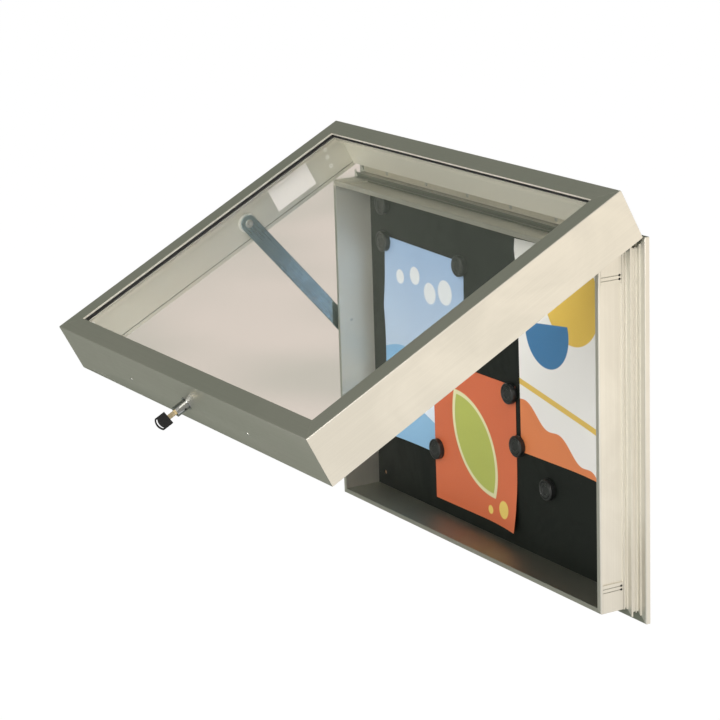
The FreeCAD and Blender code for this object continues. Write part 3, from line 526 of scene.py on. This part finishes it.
# Each rolling band: its level, swing, waves and colour
blueDesign = {
    "high": (0.36, 0.53, 0.8), "low": (0.55, 0.68, 0.86), "haze": {"Level": 0.9, "Softness": 0.9},
    "bands": ((0.62, 0.05, 7.0, (0.2, 0.45, 0.74)), (0.43, 0.04, 9.0, (0.72, 0.8, 0.9)),
              (0.24, 0.05, 6.0, (0.24, 0.47, 0.7))),
    "discs": {"colour": (0.86, 0.9, 0.94), "count": 4, "left": 0.2, "pitch": 0.19, "height": 1.16,
              "sway": 0.05, "turn": 2.1, "size": 0.05, "growth": 0.012},
}


def paintBlue(tree, place):
    # Pale sky, three rolling bands and a row of drifting discs
    design = blueDesign
    sky = blendColours(tree, band(tree, place, **design["haze"]), design["high"], design["low"])
    for level, swing, waves, colour in design["bands"]:
        sky = blendColours(tree, band(tree, place, Level=level, Swing=swing, Waves=waves), sky, colour)
    discs = design["discs"]
    for step in range(discs["count"]):
        x = discs["left"] + discs["pitch"] * step
        y = discs["height"] + discs["sway"] * math.sin(discs["turn"] * step)
        drifting = disc(tree, place, x, y, discs["size"] + discs["growth"] * step)
        sky = blendColours(tree, drifting, sky, discs["colour"])
    return sky


# Each dot and arc: its centre across and up the sheet, and its radius
orangeDesign = {
    "high": (0.56, 0.1, 0.022), "low": (0.66, 0.13, 0.032),
    "glow": {"Level": 0.55, "Slope": 0.3, "Softness": 0.8},
    "rim": (0.72, 0.7, 0.4), "rimArcs": ((0.27, 0.33, 0.5), (0.73, 0.67, 0.5)),
    "leaf": (0.42, 0.47, 0.075), "leafArcs": ((0.28, 0.34, 0.46), (0.72, 0.66, 0.46)),
    "dot": (0.82, 0.6, 0.12),
    "dots": ((0.16, 0.85, 0.05), (0.33, 0.92, 0.03), (0.85, 0.12, 0.06), (0.68, 0.08, 0.03)),
}


def paintOrange(tree, place):
    # A yellow-green leaf of two arcs on orange, with a scatter of pale dots
    design = orangeDesign
    ground = blendColours(tree, band(tree, place, **design["glow"]), design["high"], design["low"])
    rim, leaf = [
        inside(tree, *[disc(tree, place, *arc) for arc in design[arcs]]) for arcs in ("rimArcs", "leafArcs")
    ]
    ground = blendColours(tree, rim, ground, design["rim"])
    ground = blendColours(tree, leaf, ground, design["leaf"])
    for dot in design["dots"]:
        ground = blendColours(tree, disc(tree, place, *dot), ground, design["dot"])
    return ground


whiteDesign = {
    "paper": (0.84, 0.83, 0.8), "disc": (0.75, 0.5, 0.06), "discShape": (0.6, 1.12, 0.3),
    "half": (0.02, 0.16, 0.36), "halfShape": (0.32, 0.86, 0.24),
    "halfEdge": {"Level": 0.88, "Slope": 0.1, "Swing": 0.0},
    "field": (0.72, 0.2, 0.05), "fieldEdge": {"Level": 0.36, "Slope": -0.42, "Swing": 0.03, "Waves": 17.0},
    "stripe": (0.74, 0.5, 0.08), "stripeLevels": (0.46, 0.5), "stripeSlope": -0.2,
}


def paintWhite(tree, place):
    # A blue half disc over a yellow one, a sloping orange field at the bottom and a stripe above it
    design = whiteDesign
    whole = disc(tree, place, *design["discShape"])
    ground = blendColours(tree, whole, design["paper"], design["disc"])
    half = inside(tree, disc(tree, place, *design["halfShape"]), band(tree, place, **design["halfEdge"]))
    ground = blendColours(tree, half, ground, design["half"])
    ground = blendColours(tree, band(tree, place, **design["fieldEdge"]), ground, design["field"])
    below, above = [
        band(tree, place, Level=level, Slope=design["stripeSlope"], Swing=0.0)
        for level in design["stripeLevels"]
    ]
    stripe = inside(tree, above, maths(tree, "SUBTRACT", 1.0, below))
    return blendColours(tree, stripe, ground, design["stripe"])


labelDesign = {"high": (0.97, 0.92, 0.905), "low": (1.0, 0.96, 0.94),
               "shade": {"Level": 0.5, "Softness": 1.6}}


def paintLabel(tree, place):
    shade = band(tree, place, **labelDesign["shade"])
    return blendColours(tree, shade, labelDesign["high"], labelDesign["low"])


caseAcross = metalMaterial("case_anodised_across", "shadedAnodised", "x", crevice=crevices["case"], inner="dustAndShade",
                           centre=caseCentre)
# the case's uprights get a painted light in their crevices in place of a painted shade
caseUpright = metalMaterial("case_anodised_upright", "case", "z", crevice=crevices["case"], within="paintedLight",
                            inner="side", centre=caseCentre, fadesLow=True)
bracketMetal = metalMaterial("bracket_metal", "case", "z", crevice=crevices["case"])
doorAcross = metalMaterial("door_anodised_across", "anodised", "x", crevice=crevices["door"], inner="top",
                           centre=trayCentre)
doorDownward = metalMaterial("door_anodised_down", "anodised", "z", openAngle, crevice=crevices["door"],
                             inner="side", centre=trayCentre)
stainlessX = metalMaterial("stainless_along_x", "stainless", "x")
bareGlintMetal = metalMaterial("bare_aluminium_painted_glint", "bare")
hingeSteel = metalMaterial("hinge_steel", "hinge", "x")
stainlessBar = metalMaterial("stainless_bar", "stainless", "z", -stayLean)
zinc = metalMaterial("zinc_fastener", "zinc", bumps=0.1)
castCleat = metalMaterial("cast_cleat", "cast", bumps=0.4)
chrome = metalMaterial("chromed_lock", "chrome", bumps=0.02)
brass = metalMaterial("lock_brass", "brass")
plain = {name: plainMaterial(name) for name in plainFinish}
clearGlass = glassMaterial()
bluePrint = paperMaterial("blue_notice", paintBlue)
orangePrint = paperMaterial("orange_notice", paintOrange)
whitePrint = paperMaterial("white_notice", paintWhite)
blankLabel = paperMaterial("blank_label", paintLabel)

finishOf = {
    caseAcross: ["case_profile_top", "case_profile_bottom"],
    caseUpright: ["case_profile_left", "case_profile_right"],
    bracketMetal: [name for name in nodes if "corner_bracket_" in name],
    doorAcross: ["door_profile_top", "door_profile_bottom", "glazing_bead_top", "glazing_bead_bottom"],
    doorDownward: ["door_profile_left", "door_profile_right", "glazing_bead_left", "glazing_bead_right"],
    hingeSteel: ["hinge_leaf_case", "hinge_leaf_door", "hinge_pin"],
    stainlessX: ["stay_guide_pin", "stay_rivet", "glazing_clips"],
    stainlessBar: ["stay_bar"],
    zinc: ["panel_screws", "hinge_rivets_case", "hinge_rivets_door", "door_bottom_rivets", "stay_stop_screw"],
    castCleat: [name for name in nodes if "corner_cleat" in name],
    chrome: ["lock_cylinder", "lock_collar", "lock_nut", "lock_bolt"],
    brass: ["lock_plug", "lock_keeper", "key_blade"],
    plain["dark_panel"]: ["back_panel"],
    plain["hardboard"]: ["backing_board"],
    plain["white_nylon"]: ["stay_roller", "stay_stop", "stay_spacer"],
    plain["black_rubber"]: ["glazing_gasket"],
    plain["black_plastic"]: ["key_head"],
    plain["magnet_case"]: ["magnets"],
    plain["black_screw"]: ["corner_bracket_screws", "lock_side_pin"],
    clearGlass: ["glass_pane"],
    bluePrint: ["notice_left"],
    orangePrint: ["notice_middle"],
    whitePrint: ["notice_right"],
}
for material, names in finishOf.items():
    for name in names:
        for materialSlot in nodes[name].material_slots:
            materialSlot.material = material
nodes["glass_pane"].visible_shadow = False  # daylight passes the pane
print("materials:", len(finishOf))


# Extruded members: the die's small edge radius, which catches the light

edge = {"radius": 0.0006, "caseRadius": 0.0008, "steps": 3, "flat": 1.0, "sharp": 30.0, "weld": 0.000005}
softKinds = ("case_profile", "door_profile", "glazing_bead", "stay_bar", "case_corner_bracket",
             "glazing_clips", "stay_stop")
softened = [name for name in nodes if name.startswith(softKinds) and not name.endswith("screw")]


def softenEdges(piece):
    weld = piece.modifiers.new("weld", "WELD")
    weld.merge_threshold = edge["weld"]
    flat = piece.modifiers.new("flat", "DECIMATE")
    flat.decimate_type = "DISSOLVE"
    flat.angle_limit = math.radians(edge["flat"])
    bevel = piece.modifiers.new("bevel", "BEVEL")
    bevel.width = edge["caseRadius" if piece.name.startswith("case_profile") else "radius"]
    bevel.segments = edge["steps"]
    bevel.limit_method = "ANGLE"
    bevel.angle_limit = math.radians(edge["sharp"])
    bevel.use_clamp_overlap = True
    bevel.harden_normals = True


for name in softened:
    softenEdges(nodes[name])
print("edges softened:", len(softened))


# Magnets: moulded pots with a rounded rim and a shallow dished face

magnet = {"radius": 0.015, "thick": 0.008, "foot": 0.0006, "rim": 0.0016, "groove": (0.0122, 0.0104),
          "grooveDepth": 0.0009, "dish": 0.0068, "dishSlope": 0.001, "dishDepth": 0.0008}
# Each magnet: X, Z, and how many sheets it holds
magnetPlaces = [
    (-0.2802, 0.2011, 0), (-0.2795, 0.1463, 1), (-0.0764, 0.1446, 1), (0.0418, -0.0115, 2),
    (-0.1474, -0.1364, 2), (0.0598, -0.083, 2), (0.1304, -0.1275, 0),
]
sheetThick = 0.0003


def buildMagnets(shape):
    radius, rise, rim, foot = (magnet[size] for size in ("radius", "thick", "rim", "foot"))
    outer, inner = magnet["groove"]
    floor = rise - magnet["dishDepth"]
    profile = [(0, 0), (radius - foot, 0), (radius, foot)] + roundedEdge(radius, rise - rim, rim)
    profile += [(outer, rise), ((outer + inner) / 2, rise - magnet["grooveDepth"]), (inner, rise)]
    profile += [(magnet["dish"], rise), (magnet["dish"] - magnet["dishSlope"], floor), (0, floor)]
    for x, z, layers in magnetPlaces:
        turned(shape, (x, panelFront - sheetThick * layers, z), (0, -1, 0), profile)


makePiece("magnet_pots", buildMagnets, plain["magnet_case"], "case", ["magnets"])


# Notices: thin paper that lifts a little where no magnet holds it

# Each lift: the corner or edge point it starts from, in half widths and half heights, its rise and its reach
notices = {
    "left": {"material": bluePrint, "slot": "blue_notice", "centre": (-0.1795, 0.0034), "size": (0.21, 0.297),
             "tilt": 1.3, "layer": 0, "lifts": [(-1, -1, 0.010, 0.12), (-1, 0.3, 0.003, 0.07)]},
    "middle": {"material": orangePrint, "slot": "orange_notice", "centre": (-0.0518, -0.106),
               "size": (0.21, 0.21), "tilt": -0.45, "layer": 1,
               "lifts": [(-1, 1, 0.004, 0.05), (1, -1, 0.008, 0.09)]},
    "right": {"material": whitePrint, "slot": "white_notice", "centre": (0.167, 0.06), "size": (0.21, 0.297),
              "tilt": -0.9, "layer": 0, "lifts": [(1, -1, 0.009, 0.1), (-1, 0.9, 0.003, 0.06)]},
}
paper = {"thick": 0.00018, "clear": 0.00004, "steps": 42, "ripple": 0.0004, "rippleScale": 9,
         "rippleFrom": 0.3, "rippleShift": 2.5}


def paperLift(notice, x, z):
    # How far the sheet stands off the panel at a place on it, x and z from its centre
    width, height = notice["size"]
    lift = 0
    for sideX, sideZ, rise, reach in notice["lifts"]:
        away = math.hypot(x - sideX * width / 2, z - sideZ * height / 2)
        share = max(0.0, 1 - away / reach)
        lift += rise * share * share
    return lift


def paperSheet(side):
    notice = notices[side]
    width, height = notice["size"]
    tilt = math.radians(notice["tilt"])
    base = panelFront - sheetThick * notice["layer"] - paper["clear"]
    columns = paper["steps"]
    rows = round(columns * height / width)

    def standOff(x, z):
        # The lifts, and a ripple that grows towards the upright edges
        scale, start = paper["rippleScale"], paper["rippleFrom"]
        swell = noise.noise(Vector((x * scale, z * scale, notice["layer"] + paper["rippleShift"])))
        ripple = paper["ripple"] * max(0.0, swell)
        outward = min(1.0, max(0.0, (abs(x) - width * start) / (width * (0.5 - start))))
        return paperLift(notice, x, z) + ripple * outward

    def corner(shape, row, column, layer):
        x = width * (column / columns - 0.5)
        z = height * (row / rows - 0.5)
        off = standOff(x, z) + paper["thick"] * layer
        turnedX = x * math.cos(tilt) + z * math.sin(tilt)
        turnedZ = z * math.cos(tilt) - x * math.sin(tilt)
        place = (notice["centre"][0] + turnedX, base - off, notice["centre"][1] + turnedZ)
        return shape.verts.new(place), (column / columns, row / rows * height / width)

    def build(shape):
        uv = shape.loops.layers.uv.new("print")
        back, front = [
            [[corner(shape, row, column, layer) for column in range(columns + 1)] for row in range(rows + 1)]
            for layer in (0, 1)
        ]

        def skin(corners):
            face = shape.faces.new([vert for vert, _ in corners])
            for loop, (_, mark) in zip(face.loops, corners):
                loop[uv].uv = mark

        for row in range(rows):
            for column in range(columns):
                skin([front[row][column], front[row][column + 1],
                      front[row + 1][column + 1], front[row + 1][column]])
                skin([back[row][column], back[row + 1][column],
                      back[row + 1][column + 1], back[row][column + 1]])
        for row in range(rows):
            skin([back[row][0], front[row][0], front[row + 1][0], back[row + 1][0]])
            skin([front[row][columns], back[row][columns], back[row + 1][columns], front[row + 1][columns]])
        for column in range(columns):
            skin([front[0][column], back[0][column], back[0][column + 1], front[0][column + 1]])
            skin([back[rows][column], front[rows][column], front[rows][column + 1], back[rows][column + 1]])

    makePiece("paper_" + side, build, notice["material"], "case", ["notice_" + side])


for side in notices:
    paperSheet(side)
print("magnets and notices made")


# Round heads: rivets of the hinge and of the door's bottom wall

heads = {"hingeRadius": 0.0032, "hingeRise": 0.0011, "hingeShank": 0.003, "pitch": 0.106,
         "leafThick": 0.0012, "doorLeafDeep": 0.0595,
         "bottomRadius": 0.003, "bottomRise": 0.0009, "bottomShank": 0.004, "bottomPlaces": (-0.1655, 0.1605),
         "bottomDeep": 0.0465, "sides": 24, "steps": 5, "shankShare": 0.48, "rimShare": 0.25}
rivetPlaces = [heads["pitch"] * (step + 0.5) for step in range(-3, 3)]


def domed(kind):
    # A shank and a domed head, from the end of the shank to the top of the dome
    radius, rise, shank = (heads[kind + size] for size in ("Radius", "Rise", "Shank"))
    neck, rim = radius * heads["shankShare"], heads["rimShare"]
    points = [(0, -shank), (neck, -shank), (neck, 0), (radius, 0)]
    for step in range(heads["steps"] + 1):
        angle = math.pi / 2 * step / heads["steps"]
        points.append((radius * math.cos(angle), rise * (rim + (1 - rim) * math.sin(angle))))
    points[-1] = (0, rise)
    return points


def buildDoorRivets(shape):
    for x in rivetPlaces:
        start = onDoor(x, -heads["leafThick"], heads["doorLeafDeep"])
        turned(shape, start, -doorDown, domed("hinge"), heads["sides"])


def buildCaseRivets(shape):
    low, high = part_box("hinge_rivets_case")
    for x in rivetPlaces:
        start = (x, low.y + heads["hingeRise"], (low.z + high.z) / 2)
        turned(shape, start, (0, -1, 0), domed("hinge"), heads["sides"])


def buildBottomRivets(shape):
    for x in heads["bottomPlaces"]:
        start = onDoor(x, doorHeight, heads["bottomDeep"])
        turned(shape, start, doorDown, domed("bottom"), heads["sides"])


makePiece("door_leaf_rivets", buildDoorRivets, zinc, "door", ["hinge_rivets_door"])
makePiece("case_leaf_rivets", buildCaseRivets, zinc, "case", ["hinge_rivets_case"])
makePiece("bottom_wall_rivets", buildBottomRivets, zinc, "door", ["door_bottom_rivets"])


# The stay's pivot on the door: a white spacer and a rivet with a dished head

# dish holds radii with their depths below the top of the head
stayPivot = {"down": 0.202, "deep": 0.0442, "bore": 0.003, "play": 0.00005, "spacerRadius": 0.0145,
             "spacerRound": 0.0008, "headRadius": 0.006, "headRise": 0.0018, "headSide": 0.0006,
             "headRound": 0.0009, "dish": ((0.0026, 0.0003), (0.0019, 0.0011), (0, 0.0012))}


def pivotSpan(low, high):
    # Where a solid on the pivot's axis starts, and how long it is, from its box
    start = onDoor(0, stayPivot["down"], stayPivot["deep"])
    start.x = low.x
    return start, high.x - low.x


def buildSpacer(shape):
    start, length = pivotSpan(*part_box("stay_spacer"))
    radius, bore, size = stayPivot["spacerRadius"], stayPivot["bore"], stayPivot["spacerRound"]
    profile = [(bore, 0.0), (radius, 0.0)] + roundedEdge(radius, length - size, size)
    profile += [(bore, length), (bore, 0.0)]
    turned(shape, start, (1, 0, 0), profile)
    bmesh.ops.remove_doubles(shape, verts=shape.verts, dist=0.000001)


def buildStayRivet(shape):
    start, length = pivotSpan(*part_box("stay_rivet"))
    radius, shank = stayPivot["headRadius"], stayPivot["bore"] - stayPivot["play"]
    under = length - stayPivot["headRise"]
    profile = [(0, 0), (shank, 0), (shank, under), (radius, under)]
    profile += roundedEdge(radius, under + stayPivot["headSide"], stayPivot["headRound"])
    profile += [(across, length - drop) for across, drop in stayPivot["dish"]]
    turned(shape, start, (1, 0, 0), profile)


makePiece("pivot_spacer", buildSpacer, plain["white_nylon"], "door", ["stay_spacer"])
makePiece("pivot_rivet", buildStayRivet, zinc, "door", ["stay_rivet"])


# Crimp marks of the corner cleats on the door's inner walls: a punched pit with a raised lip

# endPlaces are metres from the door's top or bottom edge, and from its front; topPlace is from its side edge
# rim holds shares of the radius and of the lip, pitShare is the pit's floor as a share of the radius
crimp = {"radius": 0.0032, "foot": 0.0006, "lip": 0.00035, "rim": ((1, 0.3), (0.78, 1), (0.5, 0.4)),
         "pit": 0.00045, "pitShare": 0.25, "sides": 20,
         "endPlaces": ((0.0415, 0.0255), (0.044, 0.037), (0.045, 0.0515)), "topPlace": (0.0365, 0.0575)}


def buildCrimps(shape):
    radius, foot, lip = crimp["radius"], crimp["foot"], crimp["lip"]
    bottom = lip - crimp["pit"]
    profile = [(0, -foot), (radius, -foot)]
    profile += [(radius * across, lip * up) for across, up in crimp["rim"]]
    profile += [(radius * crimp["pitShare"], bottom), (0, bottom)]

    def punch(x, down, deep, axis):
        turned(shape, onDoor(x, down, deep), axis, profile, crimp["sides"])

    for side in (-1, 1):
        wall = side * (halfDoor - doorWall)
        for down, deep in crimp["endPlaces"]:
            punch(wall, down, deep, (-side, 0, 0))
            punch(wall, doorHeight - down, deep, (-side, 0, 0))
        inset, deep = crimp["topPlace"]
        across = side * (halfDoor - inset)
        punch(across, doorWall, deep, doorDown)
        punch(across, doorHeight - doorWall, deep, -doorDown)


makePiece("corner_crimps", buildCrimps, bareGlintMetal, "door")
print("rivets, pivot and crimps made")


# Key head: a flat bow with a crescent window

# down and deep are where the bow starts, from the door's top and front
key = {"width": 0.0185, "length": 0.019, "thick": 0.0046, "round": 0.0135, "soft": 0.0007,
       "windowInset": 0.0017, "windowSide": 0.002, "windowRound": 0.0125, "windowDrop": 0.003,
       "steps": 14, "windowSteps": 12, "turn": math.radians(-37), "down": doorHeight + 0.0305,
       "deep": 0.0423}


def overTop(half, radius, centre, steps):
    # Points over the top of a circle, from half its chord on the right to half on the left
    low = math.acos(half / radius)
    turns = [low + (math.pi - 2 * low) * step / steps for step in range(steps + 1)]
    return [(radius * math.cos(turn), centre + radius * math.sin(turn)) for turn in turns]


def keyOutline():
    # The bow's outline, x across and y away from the lock, starting at the blade
    half = key["width"] / 2
    top = overTop(half, key["round"], key["length"] - key["round"], key["steps"])
    return [(-half, 0.0), (half, 0.0)] + top


def crescentOutline():
    # The window: out along the bow's round and back along a shallower one
    half = key["width"] / 2 - key["windowSide"]
    centre = key["length"] - key["round"]
    outer = overTop(half, key["round"] - key["windowInset"], centre, key["windowSteps"])
    inner = overTop(half, key["windowRound"], centre - key["windowDrop"], key["windowSteps"])
    return outer + inner[::-1]


def outlineCurve(name, outlines, thick, soft):
    # Flat outlines, later ones as holes in the first, given thickness and soft edges
    curve = bpy.data.curves.new(name, "CURVE")
    curve.dimensions = "2D"
    curve.fill_mode = "BOTH"
    curve.extrude = thick / 2 - soft
    curve.bevel_depth = soft
    curve.bevel_resolution = 3
    curve.offset = -soft
    for outline in outlines:
        spline = curve.splines.new("POLY")
        spline.points.add(len(outline) - 1)
        for point, (x, y) in zip(spline.points, outline):
            point.co = (x, y, 0, 1)
        spline.use_cyclic_u = True
    holder = bpy.data.objects.new(name, curve)
    bpy.context.scene.collection.objects.link(holder)
    bpy.context.view_layer.update()
    mesh = bpy.data.meshes.new_from_object(holder.evaluated_get(bpy.context.evaluated_depsgraph_get()))
    bpy.data.objects.remove(holder)
    return mesh


bow = outlineCurve("key_bow", [keyOutline(), crescentOutline()], key["thick"], key["soft"])
bowTurn = doorTurn @ Matrix.Rotation(key["turn"], 3, "Z")
bowAcross = bowTurn @ Vector((0, 1, 0))
bowPlace = Matrix((bowAcross, doorDown, bowAcross.cross(doorDown))).transposed().to_4x4()
bowPlace.translation = onDoor(0, key["down"], key["deep"])
bow.transform(bowPlace)
bow.name = "key_bow"
finishPiece("key_bow", bow, plain["black_plastic"], "key", ["key_head"], sharp=50)
print("key made")


# Blank label on the left wall of the door, inside

label = {"down": (0.0787, 0.1507), "deep": (0.023, 0.060), "clear": 0.00002, "thick": 0.0002}


def buildLabel(shape):
    uv = shape.loops.layers.uv.new("print")
    wall = doorWall - halfDoor
    top, bottom = label["down"]
    front, rear = label["deep"]
    corners = [(top, front), (bottom, front), (bottom, rear), (top, rear)]
    near, far = [
        [shape.verts.new(onDoor(wall + off, down, deep)) for down, deep in corners]
        for off in (label["clear"], label["thick"])
    ]
    faces = [shape.faces.new(near), shape.faces.new(far)]
    for step in range(4):
        after = (step + 1) % 4
        faces.append(shape.faces.new([near[step], near[after], far[after], far[step]]))
    for face in faces:
        for loop, mark in zip(face.loops, ((0, 0), (1, 0), (1, 0.5), (0, 0.5))):
            loop[uv].uv = mark


makePiece("door_label", buildLabel, blankLabel, "door")


# Camera, as the photograph was taken, for a square frame

camera = {"place": (2.892, -1.9233, 0.9398), "forward": (-0.8338, 0.49053, -0.25331),
          "right": (0.51381, 0.85735, -0.03102), "lens": 129.487, "sensor": 36.0, "clip": (0.05, 100)}


def addCamera():
    data = bpy.data.cameras.new("camera")
    data.lens = camera["lens"]
    data.sensor_width = camera["sensor"]
    data.clip_start, data.clip_end = camera["clip"]
    thing = bpy.data.objects.new("camera", data)
    bpy.context.scene.collection.objects.link(thing)
    forward = Vector(camera["forward"]).normalized()
    right = Vector(camera["right"]).normalized()
    up = right.cross(forward)
    turn = Matrix((right, up, -forward)).transposed().to_4x4()
    turn.translation = camera["place"]
    thing.matrix_world = turn
    bpy.context.scene.camera = thing


# Studio: pale floor far below, white surroundings, soft lamps, and cards that only gloss can see

studio = {
    "floorDrop": 1.15, "floorSize": 60.0, "floorTone": (0.9, 0.9, 0.9), "floorRough": 0.9, "floorShare": 0.85,
    "glow": 1.08, "worldLight": 0.62,
    # seen through the glass: a warm backdrop with a painted shadow in slow clouds
    "behindGlass": (0.84, 0.72, 0.645), "shadedGlass": (0.64, 0.585, 0.51), "shadeScale": 0.9,
    "shade": (0.35, 0.65),
    # seen in gloss, from the left to the right of the room
    "dimSide": (0.2, 0.22, 0.18), "brightSide": (1.02, 0.97, 0.9), "sides": (-0.2, 0.5),
}
lamps = [
    {"name": "key_lamp", "place": (2.6, -3.4, 2.2), "size": 2.6, "power": 120.0, "colour": (1.0, 0.98, 0.95)},
    {"name": "side_lamp", "place": (4.2, 0.6, 0.6), "size": 3.0, "power": 8.0, "colour": (1.0, 0.95, 0.88)},
]
# Each card: its middle, which way it faces, its width and height, and what gloss sees of it
cards = [
    {"name": "lower_left_card", "place": (-3.2, -0.8, -0.3), "faces": (1, 0, 0), "size": (9.0, 2.2),
     "light": (0.29, 0.31, 0.26)},
    {"name": "low_card", "place": (-1.3, -0.6, -1.3), "faces": (0, 0, 1), "size": (4.4, 4.4),
     "light": (0.31, 0.335, 0.285)},
    {"name": "right_card", "place": (4.2, 2.6, -1.0), "faces": (-4.2, -2.6, 1.0), "size": (7.0, 7.0),
     "light": (1.54, 1.38, 1.16)},
    {"name": "front_card", "place": (1.7, -3.0, -0.6), "faces": (-1.7, 3.0, 0.6), "size": (2.4, 1.6),
     "light": (1.5, 1.43, 1.34)},
]


def seenDirectly(tree):
    # How much of a ray sees the plain background, and its colour there: white, or warmer behind the glass
    # with clouds of painted shadow
    path = addNode(tree, "LightPath")
    direct = maths(tree, "MAXIMUM", path.outputs["Is Camera Ray"], path.outputs["Is Glossy Ray"])
    through = path.outputs["Is Transmission Ray"]
    place = addNode(tree, "TexCoord").outputs["Object"]
    cloud = addNode(tree, "TexNoise", {"Vector": place, "Scale": studio["shadeScale"], "Detail": 1.0})
    clouded = between(tree, cloud.outputs[0], *studio["shade"])
    shade = blendColours(tree, clouded, studio["behindGlass"], studio["shadedGlass"])
    colour = blendColours(tree, through, (1, 1, 1), shade)
    return maths(tree, "MAXIMUM", direct, through), colour


def flatPiece(name, width, height):
    square = ((-0.5, -0.5), (0.5, -0.5), (0.5, 0.5), (-0.5, 0.5))
    mesh = bpy.data.meshes.new(name)
    mesh.from_pydata([(x * width, y * height, 0) for x, y in square], [], [(0, 1, 2, 3)])
    thing = bpy.data.objects.new(name, mesh)
    bpy.context.scene.collection.objects.link(thing)
    return thing


def addFloor():
    floor = flatPiece("floor", studio["floorSize"], studio["floorSize"])
    floor.location.z = cadBounds[0].z - studio["floorDrop"]
    material, tree, shader, _ = startMaterial("pale_floor", studio["floorTone"], studio["floorRough"])
    direct, colour = seenDirectly(tree)
    glow = addNode(tree, "Emission", {"Color": colour, "Strength": studio["glow"]})
    share = maths(tree, "MULTIPLY", direct, studio["floorShare"])
    mixed = addNode(tree, "MixShader", {0: share, 1: shader.outputs[0], 2: glow.outputs[0]})
    tree.links.new(mixed.outputs[0], tree.nodes["Material Output"].inputs["Surface"])
    floor.data.materials.append(material)


def addWorld():
    world = bpy.data.worlds.new("studio")
    bpy.context.scene.world = world
    world.use_nodes = True
    tree = world.node_tree
    back = tree.nodes["Background"]
    direct, colour = seenDirectly(tree)
    rightward = addNode(tree, "SeparateXYZ", {0: addNode(tree, "TexCoord").outputs["Generated"]}).outputs[0]
    side = between(tree, rightward, *studio["sides"])
    room = blendColours(tree, side, studio["dimSide"], studio["brightSide"])
    colour = blendColours(tree, addNode(tree, "LightPath").outputs["Is Glossy Ray"], colour, room)
    tree.links.new(colour, back.inputs["Color"])
    low = studio["worldLight"]
    strength = maths(tree, "ADD", maths(tree, "MULTIPLY", direct, 1 - low), low)
    tree.links.new(strength, back.inputs["Strength"])


def addLamps():
    for lamp in lamps:
        data = bpy.data.lights.new(lamp["name"], "AREA")
        data.shape = "DISK"
        data.size = lamp["size"]
        data.energy = lamp["power"]
        data.color = lamp["colour"]
        thing = bpy.data.objects.new(lamp["name"], data)
        bpy.context.scene.collection.objects.link(thing)
        thing.location = lamp["place"]
        thing.rotation_euler = (-Vector(lamp["place"])).to_track_quat("-Z", "Y").to_euler()


def addCards():
    for card in cards:
        thing = flatPiece(card["name"], *card["size"])
        thing.location = card["place"]
        thing.rotation_euler = Vector(card["faces"]).to_track_quat("Z", "Y").to_euler()
        material = bpy.data.materials.new(card["name"])
        material.use_nodes = True
        tree = material.node_tree
        glow = addNode(tree, "Emission", {"Color": (*card["light"], 1), "Strength": 1.0})
        tree.links.new(glow.outputs[0], tree.nodes["Material Output"].inputs["Surface"])
        thing.data.materials.append(material)
        thing.visible_camera = False
        thing.visible_diffuse = False
        thing.visible_transmission = False
        thing.visible_shadow = False


addCamera()
addFloor()
addWorld()
addLamps()
addCards()
bpy.context.scene.view_settings.view_transform = "Standard"
print("studio ready")
